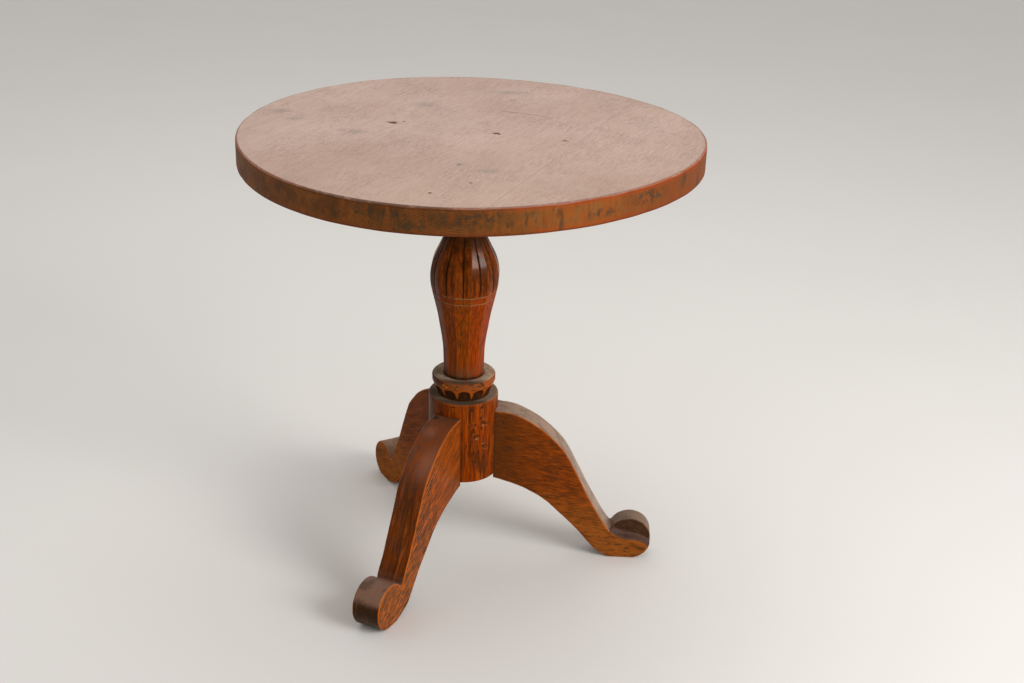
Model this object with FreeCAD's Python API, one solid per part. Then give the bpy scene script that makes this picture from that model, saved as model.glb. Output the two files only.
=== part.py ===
import FreeCAD, Part
import math
import os

# Round side table: a thick top of two boards on a carved twelve-sided pillar with three
# scrolled plank legs let into its hub. Millimetres, +Z up. The origin is on the floor
# below the middle of the top, and +X runs out the way the right leg points.

Vec = FreeCAD.Vector
UP = Vec(0, 0, 1)
ORIGIN = Vec(0, 0, 0)

# Whole table
table_height = 612.0
overrun = 20.0  # how far a cutting tool reaches past what it cuts

# Top: two boards, sawn a little out of round by hand
top_radius = 300.0
top_thickness = 34.0
top_upper_round = 3.5
top_lower_round = 1.5
# Radius every 30 degrees from +X, as shares of top_radius
top_outline_shares = [1.0026, 1.0006, 0.9844, 1.0016, 1.0294, 1.0264,
                      1.0021, 0.9931, 1.0068, 1.0026, 0.9746, 0.9753]
grain_deg = 70.0  # way that the boards run, from +X
seam_from_middle = 135.0  # glue line, measured square to the grain

# Dowels across the glue line
dowel_count = 4
dowel_radius = 5.0
dowel_length = 60.0
dowel_end_room = 1.0
dowel_row_share = 0.78  # outermost dowel, as a share of half the glue line

# Bearer: a cleat across the boards that takes the pillar's tenon
bearer_length = 420.0
bearer_width = 100.0
bearer_thickness = 26.0
bearer_end_chamfer = 14.0

# Wood screws that hold the bearer up to the top
screw_length = 45.0
screw_shank_radius = 2.25
screw_head_radius = 4.5
screw_slot_width = 1.2
screw_slot_depth = 1.0
screw_from_end = 30.0
screw_from_edge = 20.0
screw_inner_row = 70.0

# Pillar: where its axis stands, and its heights above the floor
pillar_off_x = -6.9
pillar_off_y = 2.5
hub_bottom_z = 127.0
hub_height = 119.0
hub_radius = 48.2
hub_edge_round = 1.6
neck_radius = 35.0
neck_height = 3.0
cup_foot_radius = 36.5
cup_height = 17.0
band_radius = 43.4
band_height = 8.5
band_round = 2.2

# Scoops carved round the underside of the collar
scoop_radius = 13.0
scoop_out = 3.6  # centre of a scoop outside the band
scoop_below = 14.0  # centre of a scoop below the band
scoop_start_deg = -85.0

# Baluster: twelve flat sides, each with a groove down the bulb
side_count = 12
bulb_radius = 47.0
ridge_start_deg = -74.0
# Corner radius going up, each as (share of the baluster's height, share of bulb_radius)
baluster_shares = [(0.0, 0.604), (0.11, 0.611), (0.185, 0.626), (0.26, 0.666), (0.335, 0.723),
                   (0.41, 0.779), (0.485, 0.855), (0.56, 0.936), (0.635, 1.0), (0.71, 1.0),
                   (0.785, 0.921), (0.86, 0.766), (0.935, 0.596), (1.0, 0.45)]
groove_width = 2.6
groove_depth = 1.5
groove_foot_share = 0.585
groove_head_share = 0.93
ring_shares = [0.535, 0.583]  # heights of the two scribed rings
ring_width = 1.4
ring_depth = 0.9

# Capital: the turned head above the bulb, and the tenon that enters the bearer
capital_height = 64.0
capital_neck_radius = 20.0
capital_neck_height = 8.0
capital_radius = 36.0
capital_edge_height = 12.0
# Flare under the capital's edge, as (share of its reach, share of its rise)
capital_flare_shares = [(0.2, 0.45), (0.55, 0.8)]
tenon_radius = 18.0
wedge_depth = 22.0
wedge_thick_top = 4.0
wedge_thick_bottom = 1.0

# Legs: sawn from plank, each housed in the hub with a dovetail from below
leg_top_z = 226.0
leg_under_z = 121.0
leg_edge_round = 1.8
foot_flat_depth = 0.8  # how far the foot is planed flat
valley_deg = 156.0  # where the leg's back meets the scroll
leg_names = ["leg_right", "leg_front", "leg_back"]
leg_degs = [0.0, -114.7, 121.4]
leg_thicknesses = [38.6, 41.6, 38.6]
leg_reaches = [270.0, 260.0, 264.0]  # from the pillar's axis to the toe
scroll_radii = [30.0, 32.0, 30.0]
heel_runs = [30.0, 14.0, 20.0]  # planed flat from under the scroll's centre towards the hub
# Outline points as (share of the run from shoulder to toe, share of leg_top_z)
back_shares = [(0.119, 0.982), (0.221, 0.936), (0.311, 0.874), (0.411, 0.776), (0.466, 0.698),
               (0.519, 0.593), (0.584, 0.46), (0.647, 0.341), (0.706, 0.24)]
under_shares = [(0.658, 0.045), (0.597, 0.108), (0.527, 0.192), (0.43, 0.29), (0.328, 0.386),
                (0.217, 0.456), (0.133, 0.493)]

# Dovetail on each leg's shoulder
dovetail_depth = 20.0
dovetail_neck_width = 16.0
dovetail_end_width = 24.0
dovetail_below_top = 6.0

# Pegs driven through the hub and each dovetail
peg_radius = 3.0
# Heights of each leg's two pegs, as shares of the dovetail's height
peg_height_shares = [(0.946, 0.555), (0.946, 0.753), (0.903, 0.57)]
peg_past_dovetail = 2.0
peg_sides = [-1, 1, -1]  # the side each leg's pegs are driven from

# Nail driven aslant through one leg's back into the hub
nailed_leg = 1  # place of that leg in the lists above
nail_radius = 1.5
nail_length = 34.0
nail_head_radius = 3.2
nail_head_height = 1.6
nail_from_shoulder = 12.0
nail_from_face = 8.8
nail_slope_deg = 60.0
nail_sunk = 1.0

# Levels and places worked out from the sizes above
top_under_z = table_height - top_thickness
bearer_under_z = top_under_z - bearer_thickness
hub_top_z = hub_bottom_z + hub_height
cup_z = hub_top_z + neck_height
band_z = cup_z + cup_height
collar_top_z = band_z + band_height
baluster_top_z = bearer_under_z - capital_height
baluster_height = baluster_top_z - collar_top_z
pillar_place = Vec(pillar_off_x, pillar_off_y, 0)
shoulder = math.sqrt(hub_radius ** 2 - (max(leg_thicknesses) / 2) ** 2)
dovetail_top_z = leg_top_z - dovetail_below_top


def polar(radius, degrees, z):
    """Point at a radius and an angle about Z."""
    angle = math.radians(degrees)
    return Vec(radius * math.cos(angle), radius * math.sin(angle), z)


def turned(shape, degrees):
    """Copy of a shape turned about Z."""
    copy = shape.copy()
    copy.rotate(ORIGIN, UP, degrees)
    return copy


def moved(shape, vector):
    """Copy of a shape carried along a vector."""
    copy = shape.copy()
    copy.translate(vector)
    return copy


def block(length, width, height, centre_x, centre_y, bottom_z):
    """Box given by its size, the middle of its plan and its underside."""
    corner = Vec(centre_x - length / 2, centre_y - width / 2, bottom_z)
    return Part.makeBox(length, width, height, corner)


def revolved(points):
    """Solid turned about Z from (radius, z) points on one half of the section."""
    corners = [Vec(radius, 0, z) for radius, z in points]
    section = Part.Face(Part.makePolygon(corners + corners[:1]))
    return section.revolve(ORIGIN, UP, 360)


def joined(shapes):
    """One solid fused from overlapping or touching shapes."""
    return shapes[0].multiFuse(shapes[1:]).removeSplitter()


# Top boards


def top_disc():
    """Whole top before the boards are parted at the glue line."""
    step = 360.0 / len(top_outline_shares)
    points = [polar(share * top_radius, place * step, top_under_z)
              for place, share in enumerate(top_outline_shares)]
    curve = Part.BSplineCurve()
    curve.interpolate(Points=points, PeriodicFlag=True)
    disc = Part.Face(Part.Wire(curve.toShape())).extrude(UP * top_thickness)
    upper = [edge for edge in disc.Edges if edge.BoundBox.ZMin > table_height - top_thickness / 4]
    lower = [edge for edge in disc.Edges if edge.BoundBox.ZMax < top_under_z + top_thickness / 4]
    return disc.makeFillet(top_upper_round, upper).makeFillet(top_lower_round, lower)


def narrow_side():
    """Block that covers everything past the glue line."""
    size = 4 * top_radius
    cover = block(size, size, top_thickness + 2 * overrun,
                  seam_from_middle + size / 2, 0, top_under_z - overrun)
    return turned(cover, grain_deg - 90)


def dowel_places():
    """Offsets of the dowels along the glue line."""
    half_line = math.sqrt(top_radius ** 2 - seam_from_middle ** 2)
    reach = dowel_row_share * half_line
    gap = 2 * reach / (dowel_count - 1)
    return [-reach + gap * place for place in range(dowel_count)]


def dowel_row(length):
    """Round rods of one length across the glue line, halfway up the boards."""
    rods = []
    for offset in dowel_places():
        start = Vec(seam_from_middle - length / 2, offset, top_under_z + top_thickness / 2)
        rods.append(Part.makeCylinder(dowel_radius, length, start, Vec(1, 0, 0)))
    return turned(Part.makeCompound(rods), grain_deg - 90)


# Bearer and its screws


def screw_places():
    """Middles of the screws, along and across the bearer."""
    outer = bearer_length / 2 - screw_from_end
    across = bearer_width / 2 - screw_from_edge
    rows = [-outer, -screw_inner_row, screw_inner_row, outer]
    return [(along, side * across) for along in rows for side in (-1, 1)]


def screw(slotted):
    """Countersunk wood screw pointing up, its head flush with the ground at z = 0."""
    head_height = screw_head_radius - screw_shank_radius
    point_height = 2 * screw_shank_radius
    body = revolved([(0, 0), (screw_head_radius, 0), (screw_shank_radius, head_height),
                     (screw_shank_radius, screw_length - point_height), (0, screw_length)])
    if slotted:
        body = body.cut(block(4 * screw_head_radius, screw_slot_width, screw_slot_depth + overrun,
                              0, 0, -overrun))
    return body


def screw_group(slotted):
    """All the bearer's screws where they stand."""
    one = screw(slotted)
    placed = [moved(one, Vec(along, across, bearer_under_z)) for along, across in screw_places()]
    return moved(turned(Part.makeCompound(placed), grain_deg - 90), pillar_place)


def bearer():
    """Cleat with bevelled ends, bored for the tenon and the screws."""
    half = bearer_length / 2
    drop = bearer_end_chamfer
    corners = [Vec(-half, 0, top_under_z), Vec(half, 0, top_under_z),
               Vec(half, 0, bearer_under_z + drop), Vec(half - 2 * drop, 0, bearer_under_z),
               Vec(2 * drop - half, 0, bearer_under_z), Vec(-half, 0, bearer_under_z + drop)]
    side = Part.Face(Part.makePolygon(corners + corners[:1]))
    cleat = side.extrude(Vec(0, bearer_width, 0))
    cleat.translate(Vec(0, -bearer_width / 2, 0))
    cleat = moved(turned(cleat, grain_deg - 90), pillar_place)
    hole = Part.makeCylinder(tenon_radius, bearer_thickness, Vec(0, 0, bearer_under_z))
    return cleat.cut(moved(hole, pillar_place)).cut(screw_group(False))


# Pillar


def side_wire(corner_radius, z):
    """Twelve-sided outline at a height."""
    step = 360.0 / side_count
    corners = [polar(corner_radius, ridge_start_deg + step * place, z)
               for place in range(side_count)]
    return Part.makePolygon(corners + corners[:1])


def baluster_radius(share):
    """Corner radius of the baluster at a share of its height."""
    for (low, first), (high, second) in zip(baluster_shares, baluster_shares[1:]):
        if low <= share <= high:
            return bulb_radius * (first + (second - first) * (share - low) / (high - low))
    return bulb_radius * baluster_shares[-1][1]


def baluster():
    """Carved shaft and bulb between the collar and the capital."""
    wires = [side_wire(bulb_radius * radius, collar_top_z + baluster_height * height)
             for height, radius in baluster_shares]
    return Part.makeLoft(wires, True, False)


def groove_cutters():
    """V tools that follow the middle of each side of the bulb."""
    flat = math.cos(math.pi / side_count)
    shares = [share for share, radius in baluster_shares
              if groove_foot_share < share < groove_head_share]
    sections = []
    for share in [groove_foot_share] + shares + [groove_head_share]:
        z = collar_top_z + baluster_height * share
        surface = baluster_radius(share) * flat
        out = surface + groove_depth
        corners = [Vec(surface - groove_depth, 0, z), Vec(out, groove_width, z),
                   Vec(out, -groove_width, z)]
        sections.append(Part.makePolygon(corners + corners[:1]))
    tool = Part.makeLoft(sections, True, False)
    step = 360.0 / side_count
    return [turned(tool, ridge_start_deg + step * (place + 0.5)) for place in range(side_count)]


def ring_cutter(share):
    """Thin frame that scribes one line round the twelve sides."""
    z = collar_top_z + baluster_height * share
    radius = baluster_radius(share)
    outer = Part.Face(side_wire(radius + overrun, z - ring_width / 2)).extrude(UP * ring_width)
    inner = Part.Face(side_wire(radius - ring_depth, z - ring_width / 2)).extrude(UP * ring_width)
    return outer.cut(inner)


def hub_and_collar():
    """Turned drum with the necked collar above it, before the carving."""
    soft = hub_edge_round
    body = revolved([
        (0, hub_bottom_z), (hub_radius - soft, hub_bottom_z), (hub_radius, hub_bottom_z + soft),
        (hub_radius, hub_top_z - soft), (hub_radius - soft, hub_top_z), (neck_radius, hub_top_z),
        (neck_radius, cup_z), (cup_foot_radius, cup_z), (band_radius, band_z),
        (band_radius, collar_top_z - band_round), (band_radius - band_round, collar_top_z),
        (0, collar_top_z)])
    step = 360.0 / side_count
    scoops = [Part.makeSphere(scoop_radius, polar(band_radius + scoop_out,
                                                  scoop_start_deg + step * place,
                                                  band_z - scoop_below))
              for place in range(side_count)]
    keep = Part.makeCylinder(neck_radius, neck_height + overrun, Vec(0, 0, hub_top_z - overrun))
    drum = Part.makeCylinder(hub_radius, hub_height, Vec(0, 0, hub_bottom_z))
    tools = [scoop.cut(keep).cut(drum) for scoop in scoops]
    return body.cut(Part.makeCompound(tools))


def capital():
    """Turned head and tenon above the bulb."""
    neck_z = baluster_top_z + capital_neck_height
    edge_z = bearer_under_z - capital_edge_height
    rise = edge_z - neck_z
    flare = capital_radius - capital_neck_radius
    flare_points = [(capital_neck_radius + flare * out, neck_z + rise * up)
                    for out, up in capital_flare_shares]
    return revolved([
        (0, baluster_top_z), (capital_neck_radius, baluster_top_z), (capital_neck_radius, neck_z),
        *flare_points, (capital_radius, edge_z), (capital_radius, bearer_under_z),
        (tenon_radius, bearer_under_z), (tenon_radius, top_under_z), (0, top_under_z)])


def tenon_wedge():
    """Wedge driven down the split in the tenon's end."""
    bottom_z = top_under_z - wedge_depth
    corners = [Vec(-wedge_thick_bottom / 2, 0, bottom_z), Vec(wedge_thick_bottom / 2, 0, bottom_z),
               Vec(wedge_thick_top / 2, 0, top_under_z), Vec(-wedge_thick_top / 2, 0, top_under_z)]
    section = Part.Face(Part.makePolygon(corners + corners[:1]))
    slab = moved(section.extrude(Vec(0, 2 * tenon_radius, 0)), Vec(0, -tenon_radius, 0))
    bore = Part.makeCylinder(tenon_radius, wedge_depth, Vec(0, 0, bottom_z))
    return moved(turned(slab.common(bore), grain_deg), pillar_place)


def housing(place):
    """Cutting shape of one leg's seat in the hub: flat for the shoulder, and the dovetail."""
    flat = block(overrun, leg_thicknesses[place], leg_top_z - hub_bottom_z + overrun,
                 shoulder + overrun / 2, 0, hub_bottom_z - overrun)
    return flat.fuse(dovetail(hub_bottom_z - overrun))


def pillar():
    """The whole pillar from hub to tenon, with its carving, seats and bores."""
    body = joined([hub_and_collar(), baluster(), capital()])
    body = body.cut(Part.makeCompound(groove_cutters()))
    for share in ring_shares:
        body = body.cut(ring_cutter(share))
    for place, degrees in enumerate(leg_degs):
        body = body.cut(turned(housing(place), degrees))
    body = moved(body, pillar_place)
    return body.cut(tenon_wedge()).cut(peg_group()).cut(leg_nail())


# Legs


def dovetail(bottom_z):
    """Tenon on the leg's shoulder, from a bottom level up to its stop."""
    inner = shoulder - dovetail_depth
    neck = dovetail_neck_width / 2
    end = dovetail_end_width / 2
    corners = [Vec(shoulder, neck, bottom_z), Vec(inner, end, bottom_z),
               Vec(inner, -end, bottom_z), Vec(shoulder, -neck, bottom_z)]
    section = Part.Face(Part.makePolygon(corners + corners[:1]))
    return section.extrude(UP * (dovetail_top_z - bottom_z))


def scroll_centre(place):
    """Middle of a leg's scroll."""
    radius = scroll_radii[place]
    return Vec(leg_reaches[place] - radius, 0, radius - foot_flat_depth)


def plank_outline(place):
    """Side view of a leg without its scroll: back, planed foot and hollow underside."""
    run = leg_reaches[place] - shoulder
    centre = scroll_centre(place)
    angle = math.radians(valley_deg)

    def spot(shares):
        return Vec(shoulder + run * shares[0], 0, leg_top_z * shares[1])

    top = Vec(shoulder, 0, leg_top_z)
    under = Vec(shoulder, 0, leg_under_z)
    valley = centre + Vec(math.cos(angle), 0, math.sin(angle)) * scroll_radii[place]
    sole = Vec(centre.x, 0, 0)
    heel = Vec(centre.x - heel_runs[place], 0, 0)
    back = Part.BSplineCurve()
    back.interpolate([top] + [spot(shares) for shares in back_shares] + [valley])
    hollow = Part.BSplineCurve()
    hollow.interpolate([heel] + [spot(shares) for shares in under_shares] + [under])
    return Part.Wire([back.toShape(), Part.makeLine(valley, centre), Part.makeLine(centre, sole),
                      Part.makeLine(sole, heel), hollow.toShape(), Part.makeLine(under, top)])


def scroll(place):
    """Upturned round end of a leg, with soft rims and a planed underside."""
    radius = scroll_radii[place]
    thickness = leg_thicknesses[place]
    start = scroll_centre(place) - Vec(0, thickness / 2, 0)
    drum = Part.makeCylinder(radius, thickness, start, Vec(0, 1, 0))
    rims = [edge for edge in drum.Edges if isinstance(edge.Curve, Part.Circle)]
    drum = drum.makeFillet(leg_edge_round, rims)
    floor = block(4 * radius, 2 * thickness, overrun, start.x, 0, -overrun)
    return drum.cut(floor)


def leg_blank(place):
    """Leg along +X with softened arrises and its dovetail, before the bores."""
    thickness = leg_thicknesses[place]
    face = Part.Face(plank_outline(place))
    plank = moved(face.extrude(Vec(0, thickness, 0)), Vec(0, -thickness / 2, 0))
    arrises = [edge for edge in plank.Edges
               if isinstance(edge.Curve, Part.BSplineCurve) and edge.BoundBox.YLength < leg_edge_round]
    plank = plank.makeFillet(leg_edge_round, arrises)
    return joined([plank, scroll(place), dovetail(hub_bottom_z)])


def peg_pair(place):
    """One leg's pegs, as if the leg pointed along +X."""
    side = peg_sides[place]
    depth = shoulder - dovetail_depth / 2
    outside = math.sqrt(hub_radius ** 2 - depth ** 2)
    length = outside + dovetail_end_width / 2 + peg_past_dovetail
    drum = Part.makeCylinder(hub_radius, hub_height, Vec(0, 0, hub_bottom_z))
    pegs = []
    for share in peg_height_shares[place]:
        level = hub_bottom_z + share * (dovetail_top_z - hub_bottom_z)
        start = Vec(depth, side * (outside + overrun), level)
        rod = Part.makeCylinder(peg_radius, length + overrun, start, Vec(0, -side, 0))
        pegs.append(rod.common(drum))
    return pegs


def nail_head_place():
    """Middle of the nail's head, as if its leg pointed along +X."""
    return Vec(shoulder + nail_from_shoulder,
               nail_from_face - leg_thicknesses[nailed_leg] / 2, leg_top_z - nail_sunk)


def nail():
    """Nail driven down a leg's back into the hub, as if the leg pointed along +X."""
    angle = math.radians(nail_slope_deg)
    way = Vec(-math.cos(angle), 0, -math.sin(angle))
    shank = Part.makeCylinder(nail_radius, nail_length, nail_head_place(), way)
    cap = Part.makeCylinder(nail_head_radius, nail_head_height, nail_head_place(), way)
    return shank.fuse(cap).removeSplitter()


def nail_pocket():
    """Way in that the nail's head leaves in the leg's back."""
    angle = math.radians(nail_slope_deg)
    way = Vec(math.cos(angle), 0, math.sin(angle))
    return Part.makeCylinder(nail_head_radius, overrun, nail_head_place(), way)


def leg_nail():
    """The nail where it stands."""
    return moved(turned(nail(), leg_degs[nailed_leg]), pillar_place)


def peg_group():
    """Every peg of the three legs."""
    pegs = []
    for place, degrees in enumerate(leg_degs):
        pegs.extend(turned(peg, degrees) for peg in peg_pair(place))
    return moved(Part.makeCompound(pegs), pillar_place)


def leg(place):
    """One of the three legs, finished and in its place."""
    body = leg_blank(place)
    for peg in peg_pair(place):
        body = body.cut(peg)
    if place == nailed_leg:
        body = body.cut(nail()).cut(nail_pocket())
    return moved(turned(body, leg_degs[place]), pillar_place)


def all_parts():
    """Every piece by its name."""
    disc = top_disc()
    bores = [dowel_row(dowel_length + 2 * dowel_end_room), screw_group(False)]
    wide = disc.cut(narrow_side())
    narrow = disc.common(narrow_side())
    for bore in bores:
        wide = wide.cut(bore)
        narrow = narrow.cut(bore)
    shapes = {
        "top_board_wide": wide,
        "top_board_narrow": narrow,
        "top_dowels": dowel_row(dowel_length),
        "bearer": bearer(),
        "bearer_screws": screw_group(True),
        "pillar": pillar(),
        "tenon_wedge": tenon_wedge(),
        "leg_pegs": peg_group(),
        "leg_nail": leg_nail(),
    }
    for place, name in enumerate(leg_names):
        shapes[name] = leg(place)
    return shapes


os.makedirs("parts", exist_ok=True)
for name, shape in all_parts().items():
    print(name, "solids", len(shape.Solids), "valid", shape.isValid(), "volume", round(shape.Volume))
    shape.exportStep("parts/" + name + ".step")
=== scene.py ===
import bpy
import math
from contextlib import contextmanager
from bpy.props import FloatProperty, FloatVectorProperty, IntProperty, PointerProperty
from bpy.types import Operator, Panel, PropertyGroup
from mathutils import Matrix, Vector, noise
from mathutils.kdtree import KDTree


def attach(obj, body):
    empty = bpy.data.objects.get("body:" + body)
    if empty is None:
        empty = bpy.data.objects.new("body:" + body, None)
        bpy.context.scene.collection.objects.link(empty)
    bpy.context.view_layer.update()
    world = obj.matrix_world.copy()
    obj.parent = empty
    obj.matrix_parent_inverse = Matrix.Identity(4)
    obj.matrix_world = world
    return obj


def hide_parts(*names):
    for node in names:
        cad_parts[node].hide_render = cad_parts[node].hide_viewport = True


bl_info = {
    "name": "Round side table",
    "version": (1, 0, 0),
    "blender": (4, 5, 0),
    "location": "3D View > Sidebar > Side table",
    "description": "Round two-board top on a carved pillar with three scrolled plank legs",
    "category": "Add Mesh",
}

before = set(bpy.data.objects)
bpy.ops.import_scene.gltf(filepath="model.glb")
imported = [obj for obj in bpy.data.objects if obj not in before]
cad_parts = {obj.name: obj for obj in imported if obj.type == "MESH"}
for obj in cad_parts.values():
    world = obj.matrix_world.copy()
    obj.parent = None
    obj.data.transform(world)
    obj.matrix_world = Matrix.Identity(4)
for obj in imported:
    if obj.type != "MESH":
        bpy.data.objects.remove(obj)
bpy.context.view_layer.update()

MM = 0.001
TOP_NODES = ("top_board_wide", "top_board_narrow")
TOP_RADIUS = 0.3
TOP_FACE = 612  # height of the upper face in millimetres
SAW_MARKS = 0.0004  # depth of the marks in the sawn rim
RIM_DIP = 0.0005  # how far the upper face falls off near the rim
GLUE_GAP = 0.00008  # half the gap between the boards
SEAM_STRIP = 0.0008  # width of the eased strip along the glue line
SEAM_DIP = 0.00018  # how far that strip is eased
PITHS = ((0, -0.1, 0.693), (0, -0.215, 0.745))  # middles of the boards' growth rings
RIM = 299  # radius at which the rim's marks lie, in millimetres
LEG_NODES = ("leg_right", "leg_front", "leg_back")
LEG_TURNS = (0, -114.7, 121.4)
LEG_REACHES = (0.27, 0.26, 0.264)
LEG_HALVES = (0.0193, 0.0208, 0.0193)
LEG_SCROLLS = (0.03, 0.032, 0.03)
LEG_GRAIN_TILTS = (-9, -34, -20)
LEG_HEELS = (0.03, 0.014, 0.02)
NAILED_LEG = 1
PEG_SIDES = (-1, 1, -1)
PEG_LEVELS = ((0.21498, 0.17862), (0.21498, 0.19703), (0.21098, 0.18001))
PEG_RADIUS = 0.003
PEG_LENGTH = 0.0484
TAIL_LENGTH = 0.02
TAIL_NECK = 0.008  # half the dovetail's width at the plank
TAIL_END = 0.012  # half its width at its end
TAIL_LAP = 0.0005  # how far the dovetail reaches into the plank
TAIL_DROP = 0.006  # how far it ends below the shoulder's top
SEAT_ROOM = 0.00012  # play of a leg in its seat
BORE_ROOM = 0.00006  # play of a peg in its bore
WARM = (1, 0.52, 0.2, 1)  # tint of the gloss on oiled red wood
AXIS = Vector((-0.0069, 0.0025, 0))  # foot of the pillar's axis
DRUM = (AXIS.x / MM, AXIS.y / MM)  # the same place in millimetres
SAME = 2e-5  # points of the top closer to a level or a line than this lie on it
HAIR = 1e-6  # room for rounding


def srgb(red, green, blue):
    """Linear colour from the 0-255 values that a screen shows."""
    out = []
    for value in (red, green, blue):
        share = value / 255
        out.append(share / 12.92 if share <= 0.04045 else ((share + 0.055) / 1.055) ** 2.4)
    return (*out, 1)


def a_colour(label, text, colour):
    """A colour that the user can change."""
    return FloatVectorProperty(name=label, description=text, subtype="COLOR", size=4, min=0, max=1,
                               default=srgb(*colour))


def a_length(label, text, metres):
    """A length that the user can change."""
    return FloatProperty(name=label, description=text, unit="LENGTH", subtype="DISTANCE",
                         precision=4, default=metres)


def an_angle(label, text, degrees):
    """An angle that the user can change."""
    return FloatProperty(name=label, description=text, subtype="ANGLE", unit="ROTATION",
                         default=math.radians(degrees))


class SideTableTop(PropertyGroup):
    """Sizes and colours of the top."""
    under: a_length("Underside", "Height of the top's underside", 0.578)
    upper: a_length("Upper face", "Height of the top's upper face", 0.612)
    upper_round: a_length("Upper arris", "Radius of the worn upper arris", 0.0035)
    lower_round: a_length("Lower arris", "Radius of the lower arris", 0.0015)
    wander: a_length("Unevenness", "How far the hand-planed face dips", 0.0005)
    seam: a_length("Seam", "Glue line's distance from the middle", 0.135)
    grain: an_angle("Grain", "Way that the boards run, from +X", 70)
    sides: IntProperty(name="Points", description="Points round the rim", default=360, min=60)
    # The face colours are the wood's own tone with a painted pale sheen of the sky laid in.
    face: a_colour("Face", "Matt upper face", (186, 157, 142))
    face_pale: a_colour("Face, pale", "Pale streaks of the upper face", (199, 171, 156))
    face_dark: a_colour("Face, dark", "Dark fibres of the upper face", (152, 118, 102))
    band: a_colour("Band", "Sawn edge of the top", (120, 68, 22))
    band_dark: a_colour("Band, dark", "Dark end grain of the edge", (76, 40, 14))
    band_bright: a_colour("Band, bright", "Orange end grain", (160, 82, 22))
    band_red: a_colour("Band, red", "Reddish end grain and arrises", (140, 58, 14))
    grey: a_colour("Grime", "Dark grey dirt in the sawn edge", (54, 46, 30))


class SideTablePillar(PropertyGroup):
    """Sizes and colours of the pillar."""
    hub_bottom: a_length("Hub foot", "Height of the hub's underside", 0.127)
    hub_top: a_length("Hub top", "Height of the hub's upper face", 0.246)
    hub_radius: a_length("Hub radius", "Radius of the hub", 0.0482)
    neck_radius: a_length("Neck", "Radius of the neck over the hub", 0.035)
    cup: a_length("Scoop foot", "Height at which the scooped cup starts", 0.249)
    band: a_length("Band foot", "Height of the plain band's lower edge", 0.266)
    band_radius: a_length("Band radius", "Radius of the plain band", 0.0434)
    collar_top: a_length("Collar top", "Height of the collar's upper face", 0.2745)
    bulb_radius: a_length("Bulb radius", "Corner radius at the widest part", 0.047)
    baluster_top: a_length("Baluster top", "Height of the baluster's end", 0.488)
    bearer_under: a_length("Capital top", "Height of the capital's seat", 0.552)
    tenon_top: a_length("Tenon top", "Height of the tenon's end", 0.578)
    groove_depth: a_length("Groove depth", "Depth of the grooves down the bulb", 0.0016)
    groove_half: a_length("Groove half width", "Half the width of a groove", 0.0014)
    ring_depth: a_length("Line depth", "Depth of the scribed lines", 0.0009)
    cup_foot: a_length("Cup foot", "Radius of the scooped cup at its foot", 0.0365)
    scoop_depth: a_length("Scoop depth", "How far a scoop leaves the neck", 0.0078)
    scoop_width: an_angle("Scoop width", "Half the angle of one scoop", 14.6)
    scoop_top: FloatProperty(name="Scoop top", description="Share of the cup that a scoop climbs",
                             subtype="FACTOR", default=0.88)
    ridge_turn: an_angle("Ridge turn", "Where the first ridge stands", -74)
    scoop_turn: an_angle("Scoop turn", "Where the first scoop stands", -85)
    wood: a_colour("Wood", "Deep red brown", (124, 56, 12))
    wood_dark: a_colour("Wood, dark", "Dark streaks", (68, 29, 6))
    wood_bright: a_colour("Wood, bright", "Orange streaks", (164, 82, 20))
    shaft: a_colour("Shaft", "Red orange shaft", (146, 56, 4))
    hub: a_colour("Hub", "Orange red hub", (132, 50, 2))
    grime: a_colour("Grime", "Dirt in grooves and corners", (36, 26, 16))
    # Dust with a painted pale sheen on the upward faces.
    dust: a_colour("Dust", "Greyed upward faces", (200, 176, 148))


class SideTableLegs(PropertyGroup):
    """Sizes and colours of the legs."""
    top: a_length("Top", "Height of a leg's shoulder", 0.226)
    under: a_length("Underside", "Height of the shoulder's foot", 0.121)
    shoulder: a_length("Shoulder", "Shoulder's distance from the axis", 0.04348)
    sole: a_length("Sole", "How far the foot is planed flat", 0.0008)
    arris: a_length("Arris", "Radius of the worn arrises", 0.0019)
    voxel: a_length("Fineness", "Size of the leg's mesh", 0.0013)
    grime: a_colour("Grime", "Dark grey streaks", (52, 44, 32))
    rim: a_colour("Rim", "Worn orange arrises", (186, 92, 28))
    break_colour: a_colour("Break", "Bare split wood", (46, 28, 18))


class SideTableStage(PropertyGroup):
    """Floor, lights and camera."""
    floor: a_colour("Floor", "Plain floor", (228, 224, 218))
    sky: FloatProperty(name="Surroundings", description="Level of the even light", default=0.58)
    key: FloatProperty(name="Key", description="Power of the large soft lamp", unit="POWER",
                       default=46)
    fill: FloatProperty(name="Back", description="Power of the overhead lamp", unit="POWER",
                        default=16)
    lens: FloatProperty(name="Lens", description="Focal length on a 36 mm frame", unit="CAMERA",
                        default=51.9416)


# Tools for meshes


def nothing_selected():
    """Leaves edit mode and deselects everything."""
    if bpy.context.object and bpy.context.object.mode != "OBJECT":
        bpy.ops.object.mode_set(mode="OBJECT")
    bpy.ops.object.select_all(action="DESELECT")


def pick(*objs):
    """Selects these objects alone, the first one active."""
    nothing_selected()
    for obj in objs:
        obj.select_set(True)
    bpy.context.view_layer.objects.active = objs[0]


@contextmanager
def editing(action="SELECT"):
    """Edit mode with everything selected at first, or nothing."""
    bpy.ops.object.mode_set(mode="EDIT")
    bpy.ops.mesh.select_all(action=action)
    yield
    bpy.ops.object.mode_set(mode="OBJECT")


def named(name):
    """Names what was just added."""
    obj = bpy.context.object
    obj.name = name
    obj.data.name = name
    return obj


def outwards(obj):
    """Turns every face outwards."""
    pick(obj)
    with editing():
        bpy.ops.mesh.normals_make_consistent(inside=False)


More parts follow.
